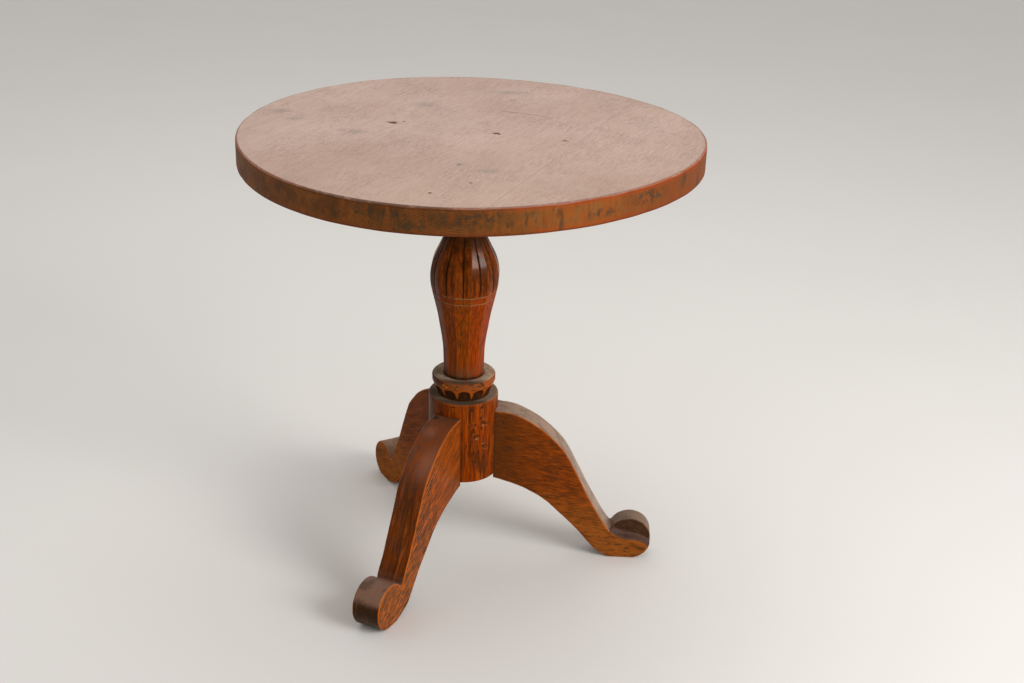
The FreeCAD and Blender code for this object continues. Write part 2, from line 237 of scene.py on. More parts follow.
def ring_stack(name, count, rings):
    """A closed turned body: one circle, extruded and resized ring by ring."""
    nothing_selected()
    radius, level = rings[0]
    bpy.ops.mesh.primitive_circle_add(vertices=count, radius=radius, fill_type="NGON",
                                      location=(0, 0, 0))
    obj = named(name)
    with editing():
        bpy.ops.transform.translate(value=(0, 0, level))
        for next_radius, next_level in rings[1:]:
            bpy.ops.mesh.extrude_region_move(
                TRANSFORM_OT_translate={"value": (0, 0, next_level - level)})
            share = next_radius / radius
            bpy.ops.transform.resize(value=(share, share, 1), center_override=(0, 0, next_level))
            radius, level = next_radius, next_level
    outwards(obj)
    return obj


def shape_rings(obj, count, place):
    """Puts each point of a ring stack where place(ring, slot) says."""
    for vertex in obj.data.vertices:
        angle = math.atan2(vertex.co.y, vertex.co.x)
        slot = round(angle / math.tau * count) % count
        vertex.co = place(vertex.index // count, slot)
    obj.data.update()


def prism(name, points, draw):
    """A body drawn out of one flat outline."""
    nothing_selected()
    bpy.ops.mesh.primitive_circle_add(vertices=len(points), radius=1, fill_type="NGON")
    obj = named(name)
    for vertex, point in zip(obj.data.vertices, points):
        vertex.co = point
    with editing():
        bpy.ops.mesh.extrude_region_move(TRANSFORM_OT_translate={"value": draw})
    outwards(obj)
    return obj


def apply_modifier(obj, kind, **settings):
    """Adds one modifier and applies it."""
    pick(obj)
    modifier = obj.modifiers.new(kind.lower(), kind)
    for key, value in settings.items():
        setattr(modifier, key, value)
    bpy.ops.object.modifier_apply(modifier=modifier.name)


def cut(obj, tool, operation="DIFFERENCE"):
    """Takes one body out of another, or adds it."""
    apply_modifier(obj, "BOOLEAN", operation=operation, solver="EXACT", object=tool)
    bpy.data.objects.remove(tool)


def joined(name, objs):
    """Joins objects into one."""
    pick(*objs)
    bpy.ops.object.join()
    return named(name)


def placed(obj, matrix):
    """Moves a body and keeps its object at the origin."""
    pick(obj)
    obj.matrix_world = matrix
    bpy.ops.object.transform_apply(location=True, rotation=True, scale=True)
    return obj


def worn(obj, depth):
    """Moves each point inwards along its normal by depth(point, normal)."""
    spots = [(vertex.co.copy(), vertex.normal.copy()) for vertex in obj.data.vertices]
    moved = [value for point, normal in spots for value in point - normal * depth(point, normal)]
    obj.data.vertices.foreach_set("co", moved)
    obj.data.update()


def painted(obj, name, value):
    """Stores value(point, normal) on every point."""
    layer = obj.data.attributes.new(name, "FLOAT", "POINT")
    layer.data.foreach_set("value", [value(vertex.co, vertex.normal)
                                     for vertex in obj.data.vertices])


def smooth(obj, degrees):
    """Smooth shading that leaves sharp edges sharp."""
    pick(obj)
    bpy.ops.object.shade_smooth_by_angle(angle=math.radians(degrees))


def rough_ball(name, centre, reach, turn, seed):
    """A lumpy squashed ball that cuts a natural pit."""
    nothing_selected()
    bpy.ops.mesh.primitive_ico_sphere_add(subdivisions=3, radius=1, location=(0, 0, 0))
    obj = named(name)
    for vertex in obj.data.vertices:
        lump = 1 + 0.35 * noise.noise(vertex.co * 1.7 + Vector((seed, 0, 0)))
        vertex.co = Vector([value * far for value, far in zip(vertex.co, reach)]) * lump
    return placed(obj, Matrix.Translation(centre) @ Matrix.Rotation(turn, 4, "Z"))


def band_of(value, low, high, soft):
    """1 between low and high, fading over soft on both sides."""
    rise = min(max((value - low) / soft + 1, 0), 1)
    fall = min(max((high - value) / soft + 1, 0), 1)
    return rise * fall


def edge_turn(part):
    """0 where a normal's part is 0 or 1, 1 halfway between."""
    return 2 * min(part ** 2, 1 - part ** 2)


def on_circle(turn, level=0):
    """A place on a circle of radius 1."""
    return Vector((math.cos(turn), math.sin(turn), level))


def between(before, start, stop, after, share):
    """A value on the smooth curve from start to stop."""
    return 0.5 * (2 * start + (stop - before) * share
                  + (2 * before - 5 * start + 4 * stop - after) * share * share
                  + (3 * start - before - 3 * stop + after) * share ** 3)


def through(points, steps):
    """Points on a smooth curve through the given ones."""
    ends = [tuple(2 * a - b for a, b in zip(*pair)) for pair in (points[:2], points[:-3:-1])]
    knots = [ends[0], *points, ends[1]]
    curve = []
    for four in zip(knots, knots[1:], knots[2:], knots[3:]):
        for step in range(steps):
            curve.append(tuple(between(*values, step / steps) for values in zip(*four)))
    curve.append(tuple(points[-1]))
    return curve


# Tools for materials


class Flow:
    """What a node gives: a number, vector or colour that sums with the usual signs."""

    def __init__(self, sheet, socket):
        self.sheet = sheet
        self.socket = socket

    def __abs__(self):
        return self.sheet.sum("ABSOLUTE", self)

    def either(self, other):
        """The stronger of two masks."""
        return self.sheet.sum("MAXIMUM", self, other)

    def lay(self, share, over):
        """Lays a colour over this one, as strongly as share says."""
        self.socket = self.sheet.mix(share, self, over).socket

    def step(self, low, high, start=0, stop=1):
        """A soft step from start to stop as this number goes from low to high."""
        return self.sheet.add("ShaderNodeMapRange", "Result", {
            "Value": self, "From Min": low, "From Max": high, "To Min": start, "To Max": stop},
            interpolation_type="SMOOTHSTEP")

    def noise(self, scale, detail=3, rough=0.5, distortion=0, out="Fac"):
        """Noise between 0 and 1 at this place."""
        return self.sheet.add("ShaderNodeTexNoise", out, {
            "Vector": self, "Scale": scale, "Detail": detail, "Roughness": rough,
            "Distortion": distortion})

    def parts(self):
        """The three numbers of this vector."""
        node = self.sheet.add("ShaderNodeSeparateXYZ", 0, {"Vector": self}).socket.node
        return [Flow(self.sheet, socket) for socket in node.outputs]


def flow_sum(operation, turned):
    """What one of the usual signs does to a flow."""
    def act(flow, other):
        return flow.sheet.sum(operation, *((other, flow) if turned else (flow, other)))
    return act


for sign, sign_sum in (("add", "ADD"), ("sub", "SUBTRACT"), ("mul", "MULTIPLY"),
                       ("truediv", "DIVIDE")):
    setattr(Flow, f"__{sign}__", flow_sum(sign_sum, False))
    setattr(Flow, f"__r{sign}__", flow_sum(sign_sum, True))


class Sheet:
    """Places and links the nodes of one tree."""

    def __init__(self, tree, material=None):
        self.tree = tree
        self.material = material

    def put(self, value, socket):
        """Links a socket, or sets a constant, where three numbers are a screen colour."""
        if isinstance(value, Flow):
            self.tree.links.new(value.socket, socket)
        elif socket.type == "RGBA" and len(value) == 3:
            socket.default_value = srgb(*value)
        else:
            socket.default_value = value

    def add(self, kind, out, ins=None, **settings):
        """Adds a node with its settings and inputs, and gives one of its outputs."""
        node = self.tree.nodes.new(kind)
        for key, value in settings.items():
            setattr(node, key, value)
        for key, value in (ins or {}).items():
            self.put(value, node.inputs[key])
        return Flow(self, node.outputs[out])

    def sum(self, operation, *values, **settings):
        """One sum of numbers, or of vectors where one of the values is a vector."""
        vector = any(isinstance(value, tuple) or isinstance(value, Flow)
                     and value.socket.type != "VALUE" for value in values)
        number = not vector or operation in {"LENGTH", "DOT_PRODUCT"}
        places = (0, 3) if operation == "SCALE" else (0, 1)
        return self.add("ShaderNodeVectorMath" if vector else "ShaderNodeMath",
                        "Value" if number else "Vector", dict(zip(places, values)),
                        operation=operation, **settings)

    def mix(self, share, under, over):
        """One colour over another."""
        return self.add("ShaderNodeMix", 2, {0: share, 6: under, 7: over}, data_type="RGBA")

    def group(self, name, *values):
        """Places one of the shared groups and gives its output, or a list of them."""
        node = self.tree.nodes.new("ShaderNodeGroup")
        node.node_tree = GROUPS[name]
        for socket, value in zip(node.inputs, values):
            self.put(value, socket)
        outs = [Flow(self, socket) for socket in node.outputs]
        return outs[0] if len(outs) == 1 else outs

    def attribute(self, name):
        """A value stored on the piece's points."""
        return self.add("ShaderNodeAttribute", "Fac", attribute_name=name)

    def local(self, centre=(0, 0, 0), turn=0):
        """Object coordinates about a centre, turned about Z."""
        return self.add("ShaderNodeMapping", "Vector", {
            "Vector": self.add("ShaderNodeTexCoord", "Object"), "Location": tuple(centre),
            "Rotation": (0, 0, turn)}, vector_type="TEXTURE")

    def whole(self, *values):
        """A vector of three numbers."""
        return self.add("ShaderNodeCombineXYZ", "Vector", dict(enumerate(values)))

    def facing_up(self):
        """How far the face looks up, from -1 to 1."""
        return self.add("ShaderNodeNewGeometry", "Normal").parts()[2]


def long_grain(sheet, here, stretch, streaks, fibres):
    """Streaks, fibres and pores that run along X."""
    bent = here + sheet.sum("SCALE", here.noise(14, 1, out="Color"), 0.004)
    run = bent * sheet.whole(1 / stretch, 1, 1)
    dash = (bent * (0.09, 1, 1)).noise(fibres * 0.62, 1, 0.4)
    return {"Streaks": run.noise(streaks, 4, 0.6, 0.3), "Fibres": run.noise(fibres, 2, 0.6),
            "Pores": dash.step(0.63, 0.7)}


def growth_rings(sheet, here, spacing, wander):
    """Thin dark lines round a pith that runs along X."""
    _, y, z = here.parts()
    drift = ((here * (0.25, 1, 1)).noise(26, 2) - 0.5) * wander
    turns = (sheet.sum("LENGTH", sheet.whole(0, y, z)) + drift) / spacing
    return {"Rings": sheet.sum("SINE", turns * math.tau).step(0, 1)}


def patches(sheet, here, scale, low, high):
    """Ragged patches of dirt or wear."""
    return {"Mask": here.noise(scale, 5, 0.65, 0.4).step(low, high)}


def spot(sheet, here, centre, reach, ragged, soft):
    """A ragged spot round a centre."""
    rag = (here.noise(420, 3, 0.6) - 0.5) * ragged
    edge = sheet.sum("LENGTH", (here - centre) / reach) + rag * 2
    return {"Mask": 1 - edge.step(1 - soft, 1)}


def scratch(sheet, here, start, stop, width, wobble):
    """A thin line between two points."""
    shake = sheet.sum("SCALE", here.noise(60, 2, out="Color") - (0.5, 0.5, 0.5), wobble)
    off = here + shake - start
    way = stop - start
    share = sheet.sum("DIVIDE", sheet.sum("DOT_PRODUCT", off, way),
                      sheet.sum("DOT_PRODUCT", way, way), use_clamp=True)
    far = sheet.sum("LENGTH", off - sheet.sum("SCALE", way, share))
    return {"Mask": far.step(width, width * 0.3)}


def upward(sheet, here, low, high):
    """Where a face looks up, broken by noise, for dust and a painted pale sheen."""
    loose = here.noise(90, 4, 0.6).step(0.25, 0.6, 0.6, 1)
    return {"Mask": sheet.facing_up().step(low, high) * loose}


GROUPS = {}
PLACE = (0, 0, 0)
GROUP_INPUTS = (
    (long_grain, {"Vector": PLACE, "Stretch": 18, "Streak scale": 60, "Fibre scale": 700}),
    (growth_rings, {"Vector": PLACE, "Spacing": 0.003, "Wander": 0.006}),
    (patches, {"Vector": PLACE, "Scale": 40, "Low": 0.5, "High": 0.6}),
    (spot, {"Vector": PLACE, "Centre": PLACE, "Reach": (1, 1, 1), "Ragged": 0.6, "Soft": 0.5}),
    (scratch, {"Vector": PLACE, "From": PLACE, "To": PLACE, "Width": 0.0006, "Wobble": 0.002}),
    (upward, {"Vector": PLACE, "Low": 0.5, "High": 0.9}))


def make_groups():
    """Builds each shared group once: named inputs, and the outputs that its function gives."""
    for make, ins in GROUP_INPUTS:
        tree = bpy.data.node_groups.new(make.__name__.replace("_", " ").capitalize(),
                                        "ShaderNodeTree")
        for name, default in ins.items():
            kind = "NodeSocketVector" if isinstance(default, tuple) else "NodeSocketFloat"
            socket = tree.interface.new_socket(name, in_out="INPUT", socket_type=kind)
            socket.default_value = default
        sheet = Sheet(tree)
        start = tree.nodes.new("NodeGroupInput").outputs
        outs = make(sheet, *(Flow(sheet, start[name]) for name in ins))
        for name in outs:
            tree.interface.new_socket(name, in_out="OUTPUT", socket_type="NodeSocketFloat")
        end = tree.nodes.new("NodeGroupOutput").inputs
        for name, flow in outs.items():
            sheet.put(flow, end[name])
        GROUPS[make.__name__] = tree


def new_sheet(name):
    """An empty sheet with a material of its own."""
    material = bpy.data.materials.new(name)
    material.use_nodes = True
    material.node_tree.nodes.clear()
    return Sheet(material.node_tree, material)


def finish(sheet, height, relief, ins):
    """Ends a material: its relief in metres and the shader's other inputs."""
    bump = sheet.add("ShaderNodeBump", "Normal", {"Height": height, "Distance": relief})
    shader = sheet.add("ShaderNodeBsdfPrincipled", "BSDF", {"Normal": bump, **ins})
    out = sheet.tree.nodes.new("ShaderNodeOutputMaterial")
    sheet.tree.links.new(shader.socket, out.inputs["Surface"])
    return sheet.material


def finish_wood(sheet, colour, rough, height, relief, specular=0.15, coat=0, coat_rough=0.3,
                tint=(1, 1, 1, 1)):
    """Ends the material of an oiled wood."""
    return finish(sheet, height, relief, {
        "Base Color": colour, "Roughness": rough, "Specular IOR Level": specular,
        "Specular Tint": tint, "Coat Weight": coat, "Coat Roughness": coat_rough})


def dress(obj, material):
    """Gives a piece one material."""
    obj.data.materials.clear()
    obj.data.materials.append(material)


def strongest(masks):
    """The strongest of many masks."""
    mask = masks[0]
    for other in masks[1:]:
        mask = mask.either(other)
    return mask


def blend_spots(here, rows, ragged, soft):
    """Many spots in one mask: each row holds the centre and the reach in millimetres."""
    rows = [tuple(value * MM for value in row) for row in rows]
    return strongest([here.sheet.group("spot", here, row[:3], row[3:], ragged, soft)
                      for row in rows])


def on_drum(centre, radius, turn, level):
    """A place on a drum's side, in millimetres."""
    angle = math.radians(turn)
    return (centre[0] + radius * math.cos(angle), centre[1] + radius * math.sin(angle), level)


def drum_spots(centre, radius, rows):
    """Spots on a drum's side from turn, height, half width and half height."""
    return [(*on_drum(centre, radius, turn, level), wide, wide, high)
            for turn, level, wide, high in rows]


# Top


def rim_radii(settings):
    """The top's radius at even angles, read off the CAD boards."""
    level = settings.upper - settings.upper_round
    spots = []
    for name in TOP_NODES:
        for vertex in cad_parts[name].data.vertices:
            far = math.hypot(vertex.co.x, vertex.co.y)
            if abs(vertex.co.z - level) < SAME and far > TOP_RADIUS - 0.02:
                spots.append((math.atan2(vertex.co.y, vertex.co.x), far))
    spots.sort()
    loop = [(spots[-1][0] - math.tau, spots[-1][1]), *spots,
            (spots[0][0] + math.tau, spots[0][1])]
    radii = []
    for slot in range(settings.sides):
        angle = (slot / settings.sides * math.tau + math.pi) % math.tau - math.pi
        place = 0
        while loop[place + 1][0] < angle:
            place += 1
        (low, first), (high, second) = loop[place:place + 2]
        radii.append(first + (second - first) * (angle - low) / max(high - low, 1e-9))
    return radii


def top_rings(settings):
    """Rings of the top as (share of the rim's radius, inset, height)."""
    under, upper = settings.under, settings.upper
    low, high = settings.lower_round, settings.upper_round
    steps = 8
    rings = [(share, 0, under) for share in (0.01, 0.1, 0.3, 0.5, 0.7, 0.85, 0.95)]
    rings += [(1, low + 0.003, under), (1, low, under), (1, low * 0.3, under + low * 0.3)]
    rings += [(1, 0, under + low + (upper - high - under - low) * step / steps)
              for step in range(steps + 1)]
    for degrees in (22.5, 45, 67.5, 90):
        angle = math.radians(degrees)
        rings.append((1, high * (1 - math.cos(angle)), upper - high * (1 - math.sin(angle))))
    rings += [(1, 0.0055, upper), (1, 0.0085, upper)]
    rings += [(0.96 - 0.95 * step / 34, 0, upper) for step in range(35)]
    return rings


def make_disc(settings):
    """The whole round top before it is parted into boards."""
    radii = rim_radii(settings)
    rings = top_rings(settings)
    count = settings.sides
    disc = ring_stack("top_disc", count, [(TOP_RADIUS * share - inset, level)
                                          for share, inset, level in rings])

    def place(ring, slot):
        share, inset, level = rings[ring]
        way = on_circle(slot / count * math.tau)
        saw = SAW_MARKS * (1 + noise.noise(way * 14 + Vector((0, 0, level * 30))))
        soft = 1 + 0.35 * noise.noise(way * 9)
        point = way * ((radii[slot] - saw) * share - inset * soft)
        if level > settings.upper - HAIR:
            dip = settings.wander * (0.5 + 0.5 * noise.noise(point * 11))
            dip += RIM_DIP * max(0, (share - 0.9) * 10) * (1 + noise.noise(way * 6)) * 0.5
            level -= dip
        elif inset and level > settings.upper - settings.upper_round:
            level = settings.upper - (settings.upper - level) * soft
        return point + Vector((0, 0, level))

    shape_rings(disc, count, place)
    return disc, radii


# Knot holes as x, y, the three half sizes and the turn
TOP_PITS = ((-106, 39, 4.6, 2, 1.5, 0.3), (31, 4, 3.2, 2, 1.2, 0.8),
            (119, -20, 2.4, 1.4, 0.9, 0.2), (13, -208, 2, 1.2, 0.9, 0.5),
            (-30, -250, 2, 1.1, 0.8, 0.9), (-113, 41, 2.2, 1.2, 0.8, 0.1),
            (35, 0, 1.6, 1, 0.7, 1.2))
# The drying crack as x and y of both ends
TOP_CRACKS = ((34, 114, 62, 107), (62, 107, 90, 93))
# Chips as turn, height and size
RIM_CHIPS = ((-93.8, 577.6, 3.2), (-104, 577.8, 2), (-71, 577.6, 2.4), (-120, 577.7, 2.2),
             (160, 577.8, 2.6), (15, 577.8, 2.2), (-98.2, 612.2, 1.8), (-50, 612.3, 1.6),
             (120, 612.2, 1.9), (60, 577.8, 2))


def carve_top(board, settings, radii):
    """Knot holes, the drying crack and chips along the rim."""
    face = settings.upper - settings.wander * 0.5
    for index, (x, y, *reach, turn) in enumerate(TOP_PITS):
        cut(board, rough_ball("pit", (x * MM, y * MM, face), [r * MM for r in reach], turn, index))
    for *start, x, y in TOP_CRACKS:
        middle = [(a + b) / 2 * MM for a, b in zip(start, (x, y))]
        run = math.dist(start, (x, y)) / 2 * MM
        turn = math.atan2(y - start[1], x - start[0])
        cut(board, rough_ball("crack", (*middle, face), (run, 0.35 * MM, 0.9 * MM), turn, 4))
    for turn, level, size in RIM_CHIPS:
        slot = round(turn / 360 * settings.sides) % settings.sides
        spot = on_drum((0, 0), radii[slot] / MM + 0.4, turn, level)
        reach = (size * 0.5 * MM, size * MM, size * 0.45 * MM)
        cut(board, rough_ball("chip", [c * MM for c in spot], reach, math.radians(turn), turn))


def make_boards(settings):
    """Parts the disc at the glue line and finishes both boards."""
    disc, radii = make_disc(settings)
    across = Vector((math.sin(settings.grain), -math.cos(settings.grain), 0))
    boards = []
    for name, side, gap in (("top_wide", 1, -GLUE_GAP), ("top_narrow", -1, GLUE_GAP)):
        pick(disc)
        bpy.ops.object.duplicate(linked=False)
        board = named(name)
        seam = settings.seam + gap
        with editing():
            bpy.ops.mesh.bisect(plane_co=across * (seam - side * SEAM_STRIP), plane_no=across)
            bpy.ops.mesh.select_all(action="SELECT")
            bpy.ops.mesh.bisect(plane_co=across * seam, plane_no=across * side, use_fill=True,
                                clear_outer=True)
        for vertex in board.data.vertices:
            if (abs(vertex.co.dot(across) - settings.seam - gap) < SAME
                    and vertex.co.z > settings.upper - 0.0015):
                vertex.co.z -= SEAM_DIP
        outwards(board)
        carve_top(board, settings, radii)
        outwards(board)

        def inset(point, normal):
            slot = round(math.atan2(point.y, point.x) / math.tau * settings.sides)
            return (radii[slot % settings.sides] - math.hypot(point.x, point.y)) * 100

        painted(board, "inset", inset)
        smooth(board, 28)
        boards.append(board)
    bpy.data.objects.remove(disc)
    return boards


# Dirt on the sawn edge as turn, height, half width and half height
BAND_SPOTS = (
    (-111.4, 599, 2.6, 4.2), (-107.7, 598, 1.8, 4), (-108, 585.4, 2.8, 3.4), (-102.3, 600, 4, 5),
    (-100.7, 586, 2.2, 6.4), (-99.3, 584, 1.7, 4.4), (-98.4, 580, 1.6, 4.2), (-96.7, 588, 2.8, 6),
    (-94.5, 599, 2.3, 7), (-92.1, 598, 2.3, 5.8), (-88.7, 596, 2.4, 9.8), (-87.3, 599, 1.8, 5.8),
    (-84.8, 603, 6, 3.4), (-85.4, 595, 1.8, 5.6), (-82.2, 598, 3.8, 3.4), (-80.3, 603, 2.4, 3.6),
    (-78.3, 581, 1.8, 1.7), (-73, 602, 3, 3), (-58, 596, 2.4, 5), (-56.5, 592, 1.8, 5),
    (-50, 600, 2, 4), (-41, 601, 3.4, 4.4), (-38.5, 600, 2.4, 6), (-36, 602, 2.4, 5),
    (-43, 590, 3, 4), (-45, 586, 2, 2.4))
BAND_SPECKS = ((-40, 598, 44, 13), (-55, 592, 26, 10), (-86, 602, 24, 5), (-100, 588, 16, 10))
# Marks of the upper face as x, y and both half sizes
TOP_KNOTS = ((-106, 39, 8, 5), (31, 4, 6, 4.2), (119, -20, 4, 2.6), (13, -208, 3, 2.2),
             (-30, -250, 3.2, 2.4), (35, 0, 3, 2), (-6, -137, 3, 2), (-92, 44, 3, 2))
TOP_REDS = ((-104, 34, 4.6, 2.4), (13, -209, 1.8, 1.2))
TOP_GREYS = ((-72, 133, 26, 14), (-4, -137, 9, 5), (184, 199, 6, 4), (227, 160, 5, 3),
             (-260, 77, 18, 9), (-235, 40, 16, 7), (30, -160, 22, 7), (40, 215, 34, 8),
             (-150, -10, 20, 8))
# Old cuts as x and y of both ends and the width
TOP_LINES = ((27, 113, 62, 107, 0.75), (62, 107, 90, 93, 0.75), (90, 93, 112, 66, 0.45),
             (112, 66, 128, 43, 0.45), (-224, -131, -176, -103, 0.6),
             (-176, -103, -150, -99, 0.45), (-262, 84, -240, 70, 0.6), (-266, 76, -248, 78, 0.6),
             (12, -212, 20, -232, 0.5), (128, 43, 112, -10, 0.4), (112, -10, 126, -28, 0.5),
             (-20, -8, 48, -14, 0.4))


def face_spots(rows, wide, high, deep):
    """Spots on the upper face, their half sizes scaled."""
    return [(x, y, TOP_FACE, a * wide, b * high, deep) for x, y, a, b in rows]


def top_marks(here, settings, face):
    """Knots, grey bruises and old cuts laid over the top's face."""
    knots = blend_spots(here, face_spots(TOP_KNOTS, 1, 1, 6), 0.6, 0.45)
    halo = blend_spots(here, face_spots(TOP_KNOTS[:3], 2.4, 2.2, 12), 0.9, 0.9)
    red = blend_spots(here, face_spots(TOP_REDS, 1, 1, 6), 0.6, 0.5)
    grey = blend_spots(here, face_spots(TOP_GREYS, 1, 1.8, 16), 2, 0.95)
    lines = strongest([
        here.sheet.group("scratch", here, (x * MM, y * MM, settings.upper),
                         (to_x * MM, to_y * MM, settings.upper), width * 1.6 * MM, 0.006)
        for x, y, to_x, to_y, width in TOP_LINES])
    face.lay(halo * 0.35, (160, 122, 104))
    face.lay(grey * 0.55, (136, 124, 116))
    face.lay(lines * 0.55, (122, 78, 62))
    face.lay(knots * 0.9, (62, 54, 46))
    face.lay(red * 0.8, (92, 34, 26))
    return knots, lines


def end_grain(here, settings, rings):
    """Colour and dirt of the sawn edge: arcs of end grain at the front, dark upright bars, painted
    light towards the right.
    """
    sheet = here.sheet
    x, y, z = here.parts()
    broad = here.noise(26, 4, 0.6)
    ends = sheet.mix(broad.step(0.42, 0.64), settings.band, (98, 54, 18))
    # Painted light: the band is brighter orange towards the right, and its stains and edges are
    # lighter there.
    right = (x + (broad - 0.5) * 0.3).step(0.02, 0.14)
    ends.lay(right * 0.5, settings.band_bright)
    mottle = (here * (1, 1, 0.6)).noise(95, 4, 0.65)
    ends.lay(mottle.step(0.52, 0.72, 0, 0.5), settings.band_red)
    ends.lay(mottle.step(0.46, 0.3, 0, 0.4), settings.band_bright)
    heart = abs(x + 0.035).step(0.085, 0.05) * y.step(-0.2, -0.25)
    ends.lay(rings * (0.14 + heart * 0.62), settings.band_dark)
    upright = (here * (1, 1, 0.1)).noise(210, 3, 0.6)
    ends.lay(upright.step(0.5, 0.68, 0, 0.35), settings.band_dark)
    # Olive stains along the middle of the band, redder wood at its two edges and far right
    middle = abs(z - 0.596)
    stain = middle.step(0.015, 0.005) * here.noise(62, 5, 0.68).step(0.44, 0.58, 0, 0.6)
    ends.lay(stain, sheet.mix(right, (74, 48, 20), (122, 82, 40)))
    ends.lay(middle.step(0.009, 0.0155, 0, 0.4), sheet.mix(right, (112, 54, 12), (158, 62, 8)))
    ends.lay(x.step(0.13, 0.25, 0, 0.6), (104, 44, 4))
    dirt = sheet.group("patches", here * (1, 1, 0.35), 75, 0.57, 0.65)
    marks = blend_spots(here, [
        (*on_drum((0, 0), RIM, turn, level), wide * 1.8, wide + 4, high * 1.4)
        for turn, level, wide, high in BAND_SPOTS], 2.2, 0.9)
    zone = blend_spots(here, drum_spots((0, 0), RIM, BAND_SPECKS), 0.8, 0.8)
    marks = marks.either(zone * here.noise(170, 4, 0.7).step(0.46, 0.54))
    dirt = (dirt * 0.6).either(marks * 0.8)
    ends.lay(dirt, settings.grey)
    return ends, dirt


def top_material(name, settings, pith, seed):
    """Matt planed face, sawn end grain round the edge, worn arris."""
    sheet = new_sheet(name)
    here = sheet.local()
    x, y, z = here.parts()
    up = sheet.facing_up()
    run = sheet.local((0, 0, 0), settings.grain)
    streaks, _, pores = sheet.group("long_grain", run, 9, 130, 800)
    fine = sheet.group("long_grain", run + (seed, 0, 0), 9, 420, 1500)[0]
    rings = sheet.group("growth_rings", run - tuple(pith), 0.0027, 0.012)
    face = sheet.mix(run.noise(6, 3).step(0.35, 0.68), settings.face, settings.face_pale)
    face.lay(streaks.step(0.45, 0.72, 0, 0.16), settings.face_dark)
    face.lay(fine.step(0.5, 0.7, 0, 0.34), settings.face_dark)
    face.lay(fine.step(0.46, 0.28, 0, 0.3), (216, 190, 174))
    crinkle = abs((run * (0.55, 1, 1)).noise(105, 4, 0.62, 1.8) - 0.5)
    crinkle = crinkle.step(0.034, 0.004) * here.noise(22, 3).step(0.42, 0.62, 0.35, 1)
    face.lay(crinkle * 0.55, settings.face_dark)
    face.lay(y.step(0.02, -0.3) * 0.35, (176, 142, 120))
    face.lay(pores * 0.12, settings.face_dark)
    face.lay(sheet.group("patches", here, 16, 0.54, 0.74) * 0.16, (166, 146, 136))
    marks, lines = top_marks(here, settings, face)
    ends, dirt = end_grain(here, settings, rings)
    colour = sheet.mix(up.step(0.35, 0.8), ends, face)
    ragged = here.noise(120, 3)
    # Arris: a dark line on the left of the front, a rosy lip on the right, orange elsewhere
    front = y.step(-0.15, -0.24)
    left = front * (x.step(0.02, -0.02) * x.step(-0.21, -0.15))
    right = front * (x.step(-0.01, 0.03) * x.step(0.24, 0.18))
    inset = sheet.attribute("inset") + (ragged - 0.5) * 0.22
    glow = (z + ragged * 0.006).step(0.6075, 0.6125) * x.step(0.02, 0.14)
    colour.lay(glow * up.step(0.7, 0.4) * 0.45, (164, 62, 14))
    lip = sheet.mix(left, (150, 78, 40), (66, 44, 30))
    lip.lay(right, (138, 88, 76))
    arris = up.step(0.4, 0.6) * up.step(0.97, 0.85) * ragged.step(0.3, 0.55, 0.45, 1)
    colour.lay(arris * 0.8, lip)
    line = inset.step(0.42, 0.3) * up.step(0.6, 0.9)
    colour.lay(line * 0.5, (126, 88, 72))
    below = up.step(0.35, 0.1) * (z + ragged * 0.003).step(0.6085, 0.6105)
    colour.lay(below * (0.25 + left * 0.5), (58, 36, 22))
    colour.lay(z.step(0.5822, 0.579) * 0.6, (92, 36, 12))
    beneath = up.step(-0.6, -0.9)
    saw = (run * (1, 0.1, 1)).noise(260, 3, 0.6)
    under = sheet.mix(saw.step(0.35, 0.7), (96, 62, 38), (128, 88, 56))
    under.lay(streaks.step(0.45, 0.7, 0, 0.6), (74, 46, 28))
    colour.lay(beneath, under)
    rough = up.step(0.8, 0.2, 0.52, 0.62)
    height = fine * 0.5 - (pores * 0.3 + dirt * 0.7)
    height = height - (crinkle * 0.7).either(lines.either(marks)) * 1.5 + saw * (beneath * 1.2)
    return finish_wood(sheet, colour, rough, height, 0.00012, 0.16, 0.02, 0.4, (1, 0.85, 0.7, 1))


# Pillar


# Points across one side of the pillar, in degrees
SLOTS = (0, 0.5, 1.2, 2.4, 4, 6, 8, 10, 11.8, 13, 13.7, 14.35,
         15, 15.65, 16.3, 17, 18.2, 20, 22, 24, 26, 27.6, 28.8, 29.5)
SIDES = 12
SIDE = math.radians(360 / SIDES)
HUB_ROUND = 0.0016  # radius of the hub's arrises
BAND_ROUND = 0.0022  # radius of the collar's upper arris
HUB_WEAR = 0.00035  # depth of the hub's wear
RIDGE_WEAR = 0.00025  # depth of the wear of the baluster's ridges
FLAT_WEAR = 0.00018  # depth of the wear of its flats
# Corner radius of the baluster as shares of its height and of the bulb's radius
BALUSTER = ((0, 0.604), (0.11, 0.611), (0.185, 0.626), (0.26, 0.666), (0.335, 0.723),
            (0.41, 0.779), (0.485, 0.855), (0.56, 0.936), (0.635, 1), (0.71, 1),
            (0.785, 0.921), (0.86, 0.766), (0.935, 0.596), (1, 0.45))
# Radii of the capital and their heights over the baluster
CAPITAL = ((0.0203, 0.0005), (0.02, 0.003), (0.02, 0.008), (0.0212, 0.0125), (0.0228, 0.019),
           (0.0252, 0.0275), (0.0286, 0.0365), (0.0325, 0.0445), (0.0352, 0.0505),
           (0.036, 0.0525))
# Shares of the baluster's height where the scribed lines and the grooves lie
LINES = (0.535, 0.583)
GROOVE = (0.588, 0.945)


def bulb_share(height):
    """Corner radius of the baluster, as a share of the bulb's, at a share of its height."""
    for index, (high, second) in enumerate(BALUSTER[1:]):
        if height <= high:
            low, first = BALUSTER[index]
            before = BALUSTER[max(index - 1, 0)][1]
            after = BALUSTER[min(index + 2, len(BALUSTER) - 1)][1]
            return between(before, first, second, after, (height - low) / (high - low))
    return BALUSTER[-1][1]


